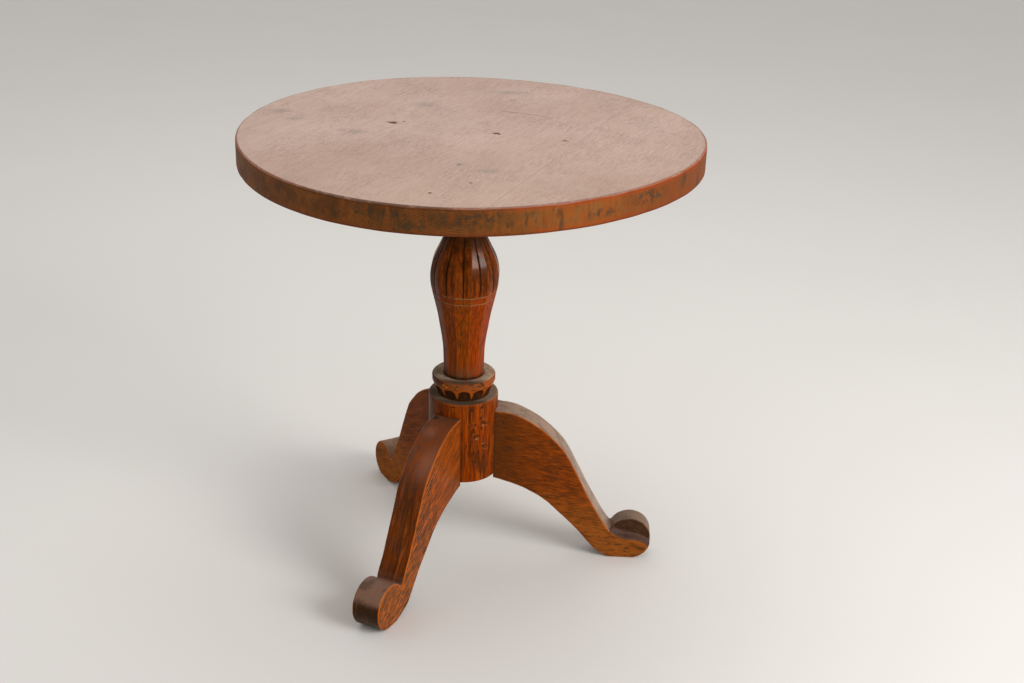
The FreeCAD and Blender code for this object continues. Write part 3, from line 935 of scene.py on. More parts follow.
def pillar_rings(settings):
    """Rings of the pillar as (radius, height, part)."""
    low, high, hub, soft = settings.hub_bottom, settings.hub_top, settings.hub_radius, HUB_ROUND
    neck, band, crown = settings.neck_radius, settings.band_radius, settings.collar_top
    edge = BAND_ROUND
    hub_rings = [(0.001, low), (0.02, low), (0.036, low), (hub - soft, low),
                 (hub - soft * 0.3, low + soft * 0.3)]
    hub_rings += [(hub, low + soft + (high - low - 2 * soft) * step / 26) for step in range(27)]
    hub_rings += [(hub - soft * 0.3, high - soft * 0.3), (hub - soft, high), (hub - 0.004, high),
                  (0.041, high)]
    collar = [(0.038, high), (neck + 0.0006, high), (neck, high + 0.0008),
              (neck, settings.cup - 0.0002)]
    for step in range(25):
        level = settings.cup + (settings.band - settings.cup) * (step / 24)
        collar.append((cup_radius(settings, level), level))
    collar += [(band, settings.band + 0.0018), (band, settings.band + 0.0042),
               (band, crown - edge)]
    for degrees in (30, 60, 90):
        angle = math.radians(degrees)
        collar.append((band - edge * (1 - math.cos(angle)), crown - edge * (1 - math.sin(angle))))
    collar += [(0.037, crown), (0.032, crown)]
    tall = settings.baluster_top - crown
    levels = sorted({step / 72 for step in range(73)}
                    | {line + off / 1000 / tall for line in LINES
                       for off in (-0.9, -0.45, 0, 0.45, 0.9)})
    baluster = [(settings.bulb_radius * 0.604 + 0.0006, crown - 0.0003)]
    baluster += [(settings.bulb_radius * bulb_share(level), crown + tall * level)
                 for level in levels]
    seat, end = settings.bearer_under, settings.tenon_top
    capital = [(radius, settings.baluster_top + over) for radius, over in CAPITAL]
    capital += [(0.036, seat - 0.003), (0.0356, seat - 0.001), (0.0345, seat), (0.02, seat),
                (0.0179, seat), (0.0179, seat + 0.001), (0.0179, end - 0.001), (0.017, end),
                (0.001, end)]
    return [(*ring, part) for part, rings in (("hub", hub_rings), ("collar", collar),
                                              ("baluster", baluster), ("capital", capital))
            for ring in rings]


def cup_radius(settings, level):
    """Radius of the cup under the band, before its scoops."""
    share = (level - settings.cup) / (settings.band - settings.cup)
    return settings.cup_foot + (settings.band_radius - settings.cup_foot) * min(max(share, 0), 1)


def scooped(settings, radius, level, off):
    """Radius of the cup once an arched scoop is taken out, off radians from its middle."""
    share = (level - settings.cup) / (settings.band - settings.cup) / settings.scoop_top
    if not 0 <= share < 1:
        return radius
    reach = abs(off) / (settings.scoop_width * math.sqrt(1 - share ** 2.6))
    reach *= 1.06 + 0.2 * noise.noise(Vector((off * 30, level * 260, radius * 90)))
    if reach >= 1:
        return radius
    middle = settings.neck_radius + settings.scoop_depth * share ** 2.2
    return radius - max(radius - middle, 0) * (1 - reach ** 6)


def groove_dip(settings, level, radius, side_off):
    """Depth of the groove down the middle of a side."""
    share = (level - settings.collar_top) / (settings.baluster_top - settings.collar_top)
    ends = band_of(share, GROOVE[0], GROOVE[1], 0.012)
    half = settings.groove_half * (0.75 if share > 0.86 else 1)
    return settings.groove_depth * ends * max(0, 1 - (abs(side_off) * radius / half) ** 1.3)


def line_dip(settings, level, turn):
    """Depth of the two scribed lines."""
    tall = settings.baluster_top - settings.collar_top
    dip = 0
    for line in LINES:
        wander = 0.0003 * noise.noise(Vector((math.cos(turn) * 3, math.sin(turn) * 3, line * 9)))
        far = abs(level - settings.collar_top - line * tall - wander)
        dip = max(dip, settings.ring_depth * max(0, 1 - far / 0.00085))
    return dip


def make_pillar_body(settings):
    """The turned and carved pillar."""
    rings = pillar_rings(settings)
    count = SIDES * len(SLOTS)
    body = ring_stack("pillar_wood", count, [ring[:2] for ring in rings])

    def place(ring, slot):
        radius, level, part = rings[ring]
        side, step = divmod(slot, len(SLOTS))
        start = settings.scoop_turn + SIDE / 2
        if part in {"hub", "capital"}:
            turn = math.radians(side * 30 + 30 * step / len(SLOTS)) + start
            if part == "hub" and radius > 0.045:
                radius -= HUB_WEAR * (1 + noise.noise(on_circle(turn, level * 6) * 3.1))
        else:
            if part == "baluster":
                start = settings.ridge_turn
            turn = start + math.radians(side * 30 + SLOTS[step])
            off = math.radians(SLOTS[step] - 15)
            if part == "collar" and settings.cup <= level <= settings.band + HAIR:
                radius = scooped(settings, radius, level, off)
            elif part == "baluster":
                corner = radius
                radius = corner * math.cos(SIDE / 2) / math.cos(off)
                near = SIDE / 2 - abs(off)
                radius -= RIDGE_WEAR * max(0, 1 - near * corner / 0.0009)
                if level > settings.collar_top:
                    radius -= groove_dip(settings, level, radius, off)
                    radius -= line_dip(settings, level, turn)
                radius -= FLAT_WEAR * (1 + noise.noise(on_circle(turn, level * 5) * 4.3))
        return Vector((AXIS.x + radius * math.cos(turn), AXIS.y + radius * math.sin(turn), level))

    shape_rings(body, count, place)
    outwards(body)
    return body


def dovetail(name, legs, room, bottom):
    """A leg's dovetail, pointing along +X, with room all round."""
    inner, outer = legs.shoulder - TAIL_LENGTH - room, legs.shoulder + TAIL_LAP
    neck, end = TAIL_NECK + room, TAIL_END + room
    return prism(name, [(outer, neck, bottom), (inner, end, bottom), (inner, -end, bottom),
                        (outer, -neck, bottom)], (0, 0, legs.top - TAIL_DROP + room - bottom))


def swing(turn):
    """Swings what was made along +X round the pillar."""
    return Matrix.Translation(AXIS) @ Matrix.Rotation(math.radians(turn), 4, "Z")


def cut_seats(body, legs, pillar):
    """Cuts the three legs' seats out of the hub."""
    flats, tails = [], []
    foot, out = pillar.hub_bottom - 0.02, 0.06
    for turn, plank_half in zip(LEG_TURNS, LEG_HALVES):
        half = plank_half + SEAT_ROOM
        corners = ((legs.shoulder, half), (out, half), (out, -half), (legs.shoulder, -half))
        flat = prism("seat_flat", [(*corner, foot) for corner in corners],
                     (0, 0, legs.top + SEAT_ROOM - foot))
        flats.append(placed(flat, swing(turn)))
        tails.append(placed(dovetail("seat_tail", legs, SEAT_ROOM, foot), swing(turn)))
    cut(body, joined("seats", flats))
    cut(body, joined("tails", tails))


def peg_matrices(legs, pillar):
    """Where each peg's outer end lies, its axis pointing out of the hub along +Z."""
    depth = legs.shoulder - TAIL_LENGTH / 2
    outside = math.sqrt(pillar.hub_radius ** 2 - depth ** 2)
    return [swing(turn) @ Matrix.Translation((depth, side * outside, level))
            @ Matrix.Rotation(math.radians(-90 * side), 4, "X")
            for turn, side, levels in zip(LEG_TURNS, PEG_SIDES, PEG_LEVELS) for level in levels]


def peg_body(name, radius, reach, out):
    """One peg or its bore: reach into the hub, out past its face."""
    return ring_stack(name, 20, [(radius * 0.7, -reach), (radius, -reach + 0.001),
                                 (radius, out - 0.0006), (radius * 0.86, out)])


def cut_peg_bores(body, spots):
    """Bores the holes of the pegs that lie at these places."""
    cut(body, joined("bores", [
        placed(peg_body("bore", PEG_RADIUS + BORE_ROOM, PEG_LENGTH + 0.001, 0.006), spot)
        for spot in spots]))


def cut_nail_bore(body, legs):
    """Bores the nail's way in, its shank along -Z, with the pocket that its head sits in."""
    bore = ring_stack("nail_bore", 20, [(0.0016, -0.0345), (0.0016, -0.0017), (0.0034, -0.0017),
                                        (0.0036, 0.012)])
    head = Matrix.Translation((legs.shoulder + 0.012, 0.0088 - LEG_HALVES[NAILED_LEG],
                               legs.top - 0.001))
    cut(body, placed(bore, swing(LEG_TURNS[NAILED_LEG]) @ head
                     @ Matrix.Rotation(math.radians(30), 4, "Y")))


def make_pillar(settings, legs):
    """The pillar with its seats, bores and marks."""
    body = make_pillar_body(settings)
    cut_seats(body, legs, settings)
    cut_peg_bores(body, peg_matrices(legs, settings))
    cut_nail_bore(body, legs)
    for index, (turn, level, wide, high, deep) in enumerate(HUB_PITS):
        centre = [c * MM for c in on_drum(DRUM, 48, turn, level)]
        cut(body, rough_ball("pit", centre, (deep * MM, wide * MM, high * MM),
                             math.radians(turn), index * 1.7))
    outwards(body)
    crown = settings.collar_top

    def spin(point):
        flat = point - AXIS
        return math.atan2(flat.y, flat.x), math.hypot(flat.x, flat.y)

    # Dirt and painted shade in the recesses: the grooves, the shaft's foot, under the capital, the
    # scoops, the neck and the hub's top by the neck.
    def grime(point, normal):
        turn, radius = spin(point)
        value = 0
        if point.z > crown + 0.0003:
            off = (turn - settings.ridge_turn) % SIDE - SIDE / 2
            share = (point.z - crown) / (settings.baluster_top - crown)
            near = max(0, 1 - abs(off) * max(radius, 0.02) / 0.0017)
            value = max(value, near * band_of(share, GROOVE[0] - 0.004, GROOVE[1], 0.01))
            value = max(value, 0.9 * max(0, 1 - (point.z - crown) / 0.005))
            value = max(value, 0.8 * band_of(share, 0.93, 1, 0.1))
        elif settings.hub_top - 0.0004 < point.z < settings.band + 0.001:
            share = (point.z - settings.cup) / (settings.band - settings.cup)
            dip = cup_radius(settings, point.z) - radius
            value = min(1, dip / 0.0008) if share > 0 else 1
            value = max(value, 1 - max(0, share) * 9)
            if point.z < settings.hub_top + 0.0005:
                value = min(1, max(0, (0.0415 - radius) / 0.005))
        return value

    def scribed(point, normal):
        if point.z < crown:
            return 0
        return min(1, line_dip(settings, point.z, spin(point)[0]) / settings.ring_depth * 1.4)

    def wear(point, normal):
        radius = spin(point)[1]
        if settings.cup < point.z < settings.band + 0.002:
            dip = cup_radius(settings, point.z) - radius
            return max(0, 1 - dip / 0.0006)
        return edge_turn(normal.z) * (1 if radius > 0.042 else 0.3)

    painted(body, "grime", grime)
    painted(body, "scribed", scribed)
    painted(body, "wear", wear)
    smooth(body, 30)
    return body


# Marks of the hub and the collar as turn, height, half width and half height; pits have a depth
HUB_PITS = ((-50.6, 216.4, 3.6, 3.2, 1.5), (-48.9, 180, 4, 3.4, 1.6),
            (-61.4, 197.4, 3.2, 2.4, 2.6), (-54.5, 208.3, 0.9, 3.8, 0.8),
            (-105.3, 241, 4, 1.4, 0.7), (-50.2, 163.5, 1.2, 4.4, 0.6))
HUB_DIRT = ((-50.6, 216.4, 4.4, 4.2), (-48.9, 180, 4.9, 4.4), (-61.2, 197.4, 3.4, 2.6),
            (-54.5, 208.3, 1.3, 4.2), (-54.4, 240, 2.6, 3), (-72.6, 238.4, 2.6, 5),
            (-105.3, 241.2, 5, 2), (-130.2, 238.7, 2, 4.2), (-50.2, 163.5, 1.5, 4.8),
            (-68.8, 172.3, 1.5, 4), (-69.3, 159.4, 1.2, 5), (-62, 150, 1.2, 5),
            (-57, 224, 1.6, 3), (-26.5, 200, 1.6, 24), (-93.5, 176, 1.4, 12))
COLLAR_DENTS = ((-115.2, 271.7, 2.2, 1), (-98.1, 271, 3, 1.2), (-69.6, 269.6, 1.8, 1.2),
                (-54.5, 269.3, 3, 1.6), (-99.2, 265.4, 3.2, 0.9), (-68.1, 265.2, 4.2, 1),
                (-42.4, 264.2, 3.8, 1.3), (-140, 268.5, 4, 1.8), (-30, 268, 2.6, 1.2))
HUB_PALE = ((-63.4, 193.6, 3.2, 1.8), (-51.5, 212.4, 3, 1.1), (-50.5, 183.4, 2.8, 1.1))
COLLAR_AMBER = ((-124.9, 269, 2.4, 2.2), (-118.5, 267.6, 2.6, 1.2))


def upright_coordinates(sheet):
    """Coordinates about the pillar's axis with the grain, Z, put first."""
    x, y, z = sheet.local(AXIS).parts()
    return sheet.whole(z, x, y)


def pillar_material(settings):
    """Polished red brown wood: dirt and painted shade in its carving, dust and painted sheen on
    its upward faces, painted shade on its left.
    """
    sheet = new_sheet("pillar_wood")
    here = sheet.local()
    run = upright_coordinates(sheet)
    streaks, _, pores = sheet.group("long_grain", run, 12, 150, 900)
    fine = sheet.group("long_grain", run + (0.7, 0.1, 0.3), 18, 520, 1500)[0]
    level = here.parts()[2]
    x, y, _ = sheet.local(AXIS).parts()
    turn = sheet.sum("ARCTAN2", y, x)
    radius = sheet.sum("SQRT", x * x + y * y)
    sides = (turn - settings.ridge_turn) / SIDE
    side = sheet.sum("FLOOR", sides)
    hub = level.step(0.262, 0.24)
    bulb = level.step(0.385, 0.415)
    shaft = 1 - hub.either(bulb)
    mottle = (run * (0.2, 1, 1)).noise(110, 4, 0.62)
    colour = sheet.mix(shaft, settings.wood, settings.shaft)
    colour.lay(hub * mottle.step(0.4, 0.6, 0.3, 1), settings.hub)
    # Each flat of the shaft has its own tone, darker and browner on the left and redder on the
    # right: painted shade and light across the flats
    tone = sheet.mix(side.step(-1, -3), (122, 58, 10), (96, 42, 8))
    tone.lay(side.step(-1, 0.5), (144, 50, 2))
    colour.lay(shaft * 0.85, tone)
    plain = 1 - shaft * 0.8
    colour.lay(plain * mottle.step(0.5, 0.4, 0, 0.75), settings.wood_dark)
    colour.lay(plain * streaks.step(0.5, 0.62, 0, 0.75), settings.wood_dark)
    colour.lay(plain * streaks.step(0.46, 0.32, 0, 0.55), settings.wood_bright)
    thread = (run * (0.035, 1, 1)).noise(520, 4, 0.65)
    colour.lay(shaft * thread.step(0.48, 0.6, 0, 0.6), (84, 34, 6))
    colour.lay(shaft * thread.step(0.46, 0.36, 0, 0.4), (182, 74, 8))
    corner = abs(sheet.sum("FRACT", sides) - 0.5).step(0.45, 0.49, 0, 0.35)
    colour.lay(shaft * corner, (186, 84, 20))
    colour.lay(fine.step(0.52, 0.66, 0, 0.6), settings.wood_dark)
    colour.lay(hub * fine.step(0.46, 0.34, 0, 0.45), (190, 80, 6))
    colour.lay(pores * (0.25 + hub * 0.5), (46, 36, 26))
    specks = (run * (0.35, 1, 1)).noise(330, 3, 0.7)
    colour.lay(bulb * specks.step(0.56, 0.64, 0, 0.8), (44, 30, 18))
    ash = level.step(0.3, 0.276) * level.step(0.27, 0.275)
    colour.lay(ash * fine.step(0.44, 0.56, 0, 0.65), (92, 72, 54))
    marks = blend_spots(here, drum_spots(DRUM, 47.8, HUB_DIRT), 1.2, 0.55)
    colour.lay(marks * 0.85, (36, 30, 20))
    pale = blend_spots(here, drum_spots(DRUM, 46.8, HUB_PALE), 0.8, 0.4)
    colour.lay(pale * 0.8, (122, 114, 92))
    wear = sheet.attribute("wear") * here.noise(160, 3).step(0.3, 0.6, 0.5, 1)
    colour.lay(wear * 0.8, (160, 78, 20))
    ring = level.step(0.2655, 0.2668) * level.step(0.2752, 0.274)
    # The band is painted darker on its left and lighter on its right: painted shade and light.
    band = sheet.mix(x.step(-0.018, -0.034), (128, 68, 32), (84, 44, 16))
    band.lay(x.step(0.022, 0.036), (152, 74, 22))
    colour.lay(ring * 0.85, band)
    slots = blend_spots(here, drum_spots(DRUM, 42.8, COLLAR_DENTS), 1.2, 0.4)
    colour.lay(slots * 0.85, (50, 44, 32))
    amber = blend_spots(here, drum_spots(DRUM, 43.4, COLLAR_AMBER), 0.9, 0.6)
    colour.lay(amber * 0.85, (214, 128, 20))
    dents = (here + (0.3, 0, 0)).noise(210, 3, 0.6).step(0.57, 0.64)
    colour.lay(ring * (dents * 0.8), settings.grime)
    # Dirt and painted shade in the grooves, the scoops and the other recesses.
    grime = sheet.attribute("grime") * here.noise(240, 3).step(0.2, 0.6, 0.75, 1)
    colour.lay(grime * 0.92, settings.grime)
    lines = sheet.attribute("scribed") * here.noise(36, 2).step(0.36, 0.5, 0.15, 0.85)
    colour.lay(lines, (140, 112, 84))
    # Dust with a painted pale sheen on the upward faces; this grey is darker at random, over the
    # hub and at the pillar's front.
    dust = sheet.group("upward", here, 0.8, 0.97)
    grey_darkening = (here + (0, 0.2, 0)).noise(130, 4, 0.65).step(0.42, 0.62, 0, 0.4)
    grey_darkening = grey_darkening.either(hub * 0.74).either(y.step(-0.018, -0.036, 0, 0.95))
    colour.lay(dust * 0.9, sheet.mix(grey_darkening, settings.dust, (74, 62, 48)))
    foot = abs(level - 0.2755).step(0.0028, 0.0008) * radius.step(0.03, 0.027)
    colour.lay(foot * 0.9, settings.grime)
    # Painted shade on the pillar's left side.
    painted_left_shade = x.step(-0.016, -0.046) * y.step(0.02, -0.01)
    colour.lay(painted_left_shade * 0.65, (40, 20, 6))
    rough = streaks.step(0.3, 0.7, 0.32, 0.42) - bulb * 0.1
    rough = rough.either(dust.either(grime) * 0.72)
    height = fine * -0.7 + streaks * -1.2 - pores.either(marks) * 1.3
    polish = side.step(-1, 0) * side.step(1, 0) * level.step(0.422, 0.436, 0, 0.32)
    return finish_wood(sheet, colour, rough, height, 0.00016, 0.07, polish, 0.16, WARM)


# Legs


# Back and underside as shares of the plank's run and of its height
BACK = ((0.119, 0.982), (0.221, 0.936), (0.311, 0.874), (0.411, 0.776), (0.466, 0.698),
        (0.519, 0.593), (0.584, 0.46), (0.647, 0.341), (0.706, 0.24))
UNDER = ((0.658, 0.045), (0.597, 0.108), (0.527, 0.192), (0.43, 0.29), (0.328, 0.386),
         (0.217, 0.456), (0.133, 0.493))
VALLEY = 156  # angle at which the back runs into the scroll
# Side view of the right foot's split in millimetres
SPLIT = ((213, 62), (212, 45), (217, 37.8), (232, 30.6), (249, 29.2), (259, 25.7), (266, 21.3),
         (277, 18), (279, 62))
SPLIT_LEFT = 0.0102  # how far from the plank's middle the split stops
SPLIT_RISE = 0.0075  # how much its floor climbs inwards
SPLIT_START = 0.211  # where it starts along the plank
PLANK_WEAR = 0.00035  # depth of the planks' broad wear
PLANK_GRAIN = 0.00012  # depth of their fine wear
ARRIS_WEAR = 0.0012  # depth of the wear of their arrises


def leg_outline(legs, place):
    """Side view of a leg: back, valley, scroll, sole and hollow underside."""
    reach, scroll_radius = LEG_REACHES[place], LEG_SCROLLS[place]
    run = reach - legs.shoulder
    centre = (reach - scroll_radius, scroll_radius - legs.sole)

    def spot(shares):
        return (legs.shoulder + run * shares[0], legs.top * shares[1])

    def rim(degrees):
        angle = math.radians(degrees)
        return (centre[0] + scroll_radius * math.cos(angle),
                centre[1] + scroll_radius * math.sin(angle))

    back = through([(legs.shoulder, legs.top), *map(spot, BACK), rim(VALLEY)], 10)
    down = -math.degrees(math.asin(centre[1] / scroll_radius))
    steps = 64
    scroll = [rim(VALLEY + (down - VALLEY) * step / steps) for step in range(1, steps + 1)]
    heel = (centre[0] - LEG_HEELS[place], 0)
    sole = [(scroll[-1][0] + (heel[0] - scroll[-1][0]) * step / 12, 0) for step in range(1, 12)]
    under = through([heel, *map(spot, UNDER), (legs.shoulder, legs.under)], 10)
    return back + scroll + sole + under


def soften_arrises(obj, legs, half):
    """Bevels the long edges of both sides, but not those of the shoulder."""
    pick(obj)
    with editing("DESELECT"):
        bpy.ops.mesh.select_mode(type="EDGE")
    points = obj.data.vertices
    for edge in obj.data.edges:
        ends = [points[index].co for index in edge.vertices]
        along = (all(abs(abs(end.y) - half) < HAIR for end in ends)
                 and abs(ends[0].y - ends[1].y) < HAIR)
        shoulder = all(abs(end.x - legs.shoulder) < HAIR for end in ends)
        edge.select = along and not shoulder
    bpy.ops.object.mode_set(mode="EDIT")
    bpy.ops.mesh.bevel(offset=legs.arris, segments=3, affect="EDGES", clamp_overlap=False)
    bpy.ops.object.mode_set(mode="OBJECT")


def split_tool():
    """The flake that has split off the near side of the right foot."""
    half = LEG_HALVES[0]
    clear = 0.01
    tool = prism("split", [(x * MM, -half - clear, z * MM) for x, z in SPLIT],
                 (0, clear + half - SPLIT_LEFT, 0))
    pick(tool)
    with editing():
        bpy.ops.mesh.quads_convert_to_tris()
        bpy.ops.mesh.subdivide(number_cuts=3)
    for vertex in tool.data.vertices:
        share = min(max((vertex.co.y + half) / 0.0091, 0), 1)
        shelf = band_of(vertex.co.z, -1, 0.04, 0.004)
        vertex.co.z += SPLIT_RISE * share * shelf
        vertex.co.y += 0.001 * noise.noise(vertex.co * 90 + Vector((3, 0, 0))) * share
        vertex.co.z += 0.0008 * noise.noise(vertex.co * 140) * shelf
    return tool


def make_leg(place, legs, pillar):
    """One leg, from its plank to its worn and seated form."""
    half = LEG_HALVES[place]
    outline = leg_outline(legs, place)
    leg = prism(LEG_NODES[place] + "_wood", [(x, -half, z) for x, z in outline], (0, 2 * half, 0))
    soften_arrises(leg, legs, half)
    if place == 0:
        cut(leg, split_tool())
    apply_modifier(leg, "REMESH", mode="VOXEL", voxel_size=legs.voxel)
    apply_modifier(leg, "SMOOTH", factor=0.5, iterations=4)
    seed = Vector((0, 0, place * 5))

    def depth(point, normal):
        broad = PLANK_WEAR * (1 + noise.noise(point * 28 + seed))
        fine = PLANK_GRAIN * (1 + noise.noise(point * 110 + seed))
        rub = ARRIS_WEAR * edge_turn(normal.y) * max(0, noise.noise(point * 45 + seed) + 0.1)
        return (broad + fine + rub) * band_of(point.x, legs.shoulder + 0.004, 1, 0.004)

    worn(leg, depth)
    for vertex in leg.data.vertices:
        vertex.co.z = max(vertex.co.z, 0)
        vertex.co.x = max(vertex.co.x, legs.shoulder)
    cut(leg, dovetail("tail", legs, 0, pillar.hub_bottom), "UNION")
    outline = through([(x, 0, z) for x, z in outline], 3)
    near = KDTree(len(outline))
    for index, spot in enumerate(outline):
        near.insert(spot, index)
    near.balance()

    def raw(point, normal):
        if place or point.y > -0.0085 or point.x < SPLIT_START:
            return 0
        floor = normal.z > 0.25 and normal.y < 0.9 and point.z < 0.047
        wall = normal.y < -0.6 and point.y > -half + 0.0025
        return band_of(point.y, -half + 0.0011, -0.0085, 0.0004) * (floor or wall)

    painted(leg, "wear", lambda point, normal: edge_turn(normal.y))
    painted(leg, "raw", raw)
    painted(leg, "inside", lambda point, normal: 100 * near.find((point.x, 0, point.z))[2])
    placed(leg, swing(LEG_TURNS[place]))
    cut_peg_bores(leg, peg_matrices(legs, pillar)[place * 2:place * 2 + 2])
    if place == NAILED_LEG:
        cut_nail_bore(leg, legs)
    smooth(leg, 38)
    return leg


# Bruises of each leg as x, y, z along the plank and the three half sizes
LEG_MARKS = (
    ((56, -19.3, 208, 1.6, 3, 5), (47.6, -19.3, 217, 2, 3, 2), (102, -19.3, 149.5, 2.6, 3, 1.4),
     (128.5, -19.3, 156, 1.2, 3, 2.6), (131.7, -19.3, 132.5, 2.2, 3, 3.4),
     (223, -19.3, 21, 8, 3, 2), (218, -19.3, 31, 2.6, 3, 1.8), (236, -19.3, 16, 6, 3, 1.8)),
    ((158, 20.8, 96, 3, 3, 11), (144, 20.8, 123, 2.6, 3, 8), (161, 20.8, 113, 2.4, 3, 9),
     (109, 20.8, 189, 2.4, 3, 3.4), (125, 20.8, 163, 2, 3, 9), (171, 20.8, 60, 2.4, 3, 9),
     (60, 4, 226, 4, 3, 3), (64, -7, 226, 3, 2.4, 3)),
    ((100, -19.3, 150, 4, 3, 3), (180, -19.3, 60, 4, 3, 2), (60, 19.3, 200, 3, 3, 5)))
WAVE = 0.0044  # distance between the dashes of the figured grain
# A painted sheen on the front leg's back, as x, y, z and the three half sizes in millimetres.
LEG_PAINTED_SHEEN = ((120, 10, 189, 36, 20, 40), (84, -6, 218, 18, 16, 10))
# Colours of the right, front and back leg, and how strongly each effect shows on them
LEG_LOOKS = {
    "base": ((124, 54, 8), (150, 66, 4), (112, 50, 4)),
    "dark": ((74, 34, 8), (88, 42, 6), (76, 34, 4)),
    "bright": ((158, 72, 12), (190, 92, 12), (136, 66, 8)),
    "low": ((146, 82, 30), (158, 80, 14), (146, 78, 10)),
    "back": ((112, 68, 42), (110, 48, 8), (98, 44, 8)),
    # The dust and crown colours are dust with a painted pale sheen laid in.
    "dust": ((164, 136, 114), (122, 62, 32), (128, 96, 72)),
    "crown": ((120, 96, 78), (124, 94, 78), (142, 112, 90)),
    "stretch": (5, 7, 7), "streaks": (230, 170, 150), "fine": (7, 12, 12),
    "mottled": (0.4, 0.6, 0.4), "streaked": (0.45, 0.6, 0.4), "lit": (0.5, 0.6, 0.3),
    "dash": (0.2, 1, 0.15), "shade": (0.6, 0.15, 0.4), "rubbed": (0.25, 0.6, 0.3),
    "dust_and_sheen_share": (0.92, 0.85, 0.7), "dust_and_sheen_end": (1, 0.13, 1), "bruised": (0.35, 0.7, 0.4),
    "toe": (0.6, 0.95, 0.6), "gloss": (0.12, 0.16, 0.02)}


def leg_edges(place, look, local, x, up, settings):
    """Colour of the plank's long edge: dust and painted sheen above, streaked below, dark at the
    toe.
    """
    sheet = local.sheet
    reach = LEG_REACHES[place]
    lengthwise = local * (0.1, 1, 0.1)
    streak = lengthwise.noise(240, 4, 0.62)
    line = (lengthwise + (0.4, 0, 0)).noise(620, 3, 0.6)
    patch = local.noise(48, 4, 0.6)
    colour = sheet.mix(streak.step(0.48, 0.62, 0, 0.75), look["back"], (56, 28, 12))
    colour.lay(streak.step(0.46, 0.34, 0, 0.45), settings.rim)
    colour.lay(line.step(0.52, 0.64, 0, 0.5), (58, 32, 18))
    # Dust with a painted pale sheen on the upward faces, out to a set distance along the plank.
    far = look["dust_and_sheen_end"]
    dust_and_sheen_share = up.step(0.12, 0.45) * (x + patch * 0.05).step(far + 0.05, far) * look["dust_and_sheen_share"]
    pale = sheet.mix(streak.step(0.46, 0.66, 0, 0.4), look["dust"], (112, 80, 62))
    colour.lay(dust_and_sheen_share, pale)
    # Grey on the scroll's top: dust with a painted pale sheen.
    crown = x.step(reach - 0.068, reach - 0.058) * up.step(0.1, 0.6)
    colour.lay(crown * 0.9, look["crown"])
    bruise = patch.step(0.5, 0.62, 0, look["bruised"])
    colour.lay(bruise * (0.2 + dust_and_sheen_share).either(crown), (78, 62, 54))
    if place == NAILED_LEG:
        # Painted sheen on the front leg's back, over a patch that is darker near the hub.
        painted_sheen = blend_spots(local, LEG_PAINTED_SHEEN, 0.3, 1)
        near = x.step(0.085, 0.055) * up.step(0.2, 0.6)
        colour.lay(near * 0.4, (96, 60, 38))
        colour.lay(painted_sheen * 0.5, (150, 98, 76))
    toe = x.step(reach - 0.034, reach - 0.014) * up.step(0.6, 0.25)
    toe = toe * streak.step(0.3, 0.5, 0.6, 1)
    colour.lay(toe * look["toe"], (40, 27, 14))
    colour.lay(up.step(-0.25, -0.6) * 0.6, (56, 32, 16))
    return colour


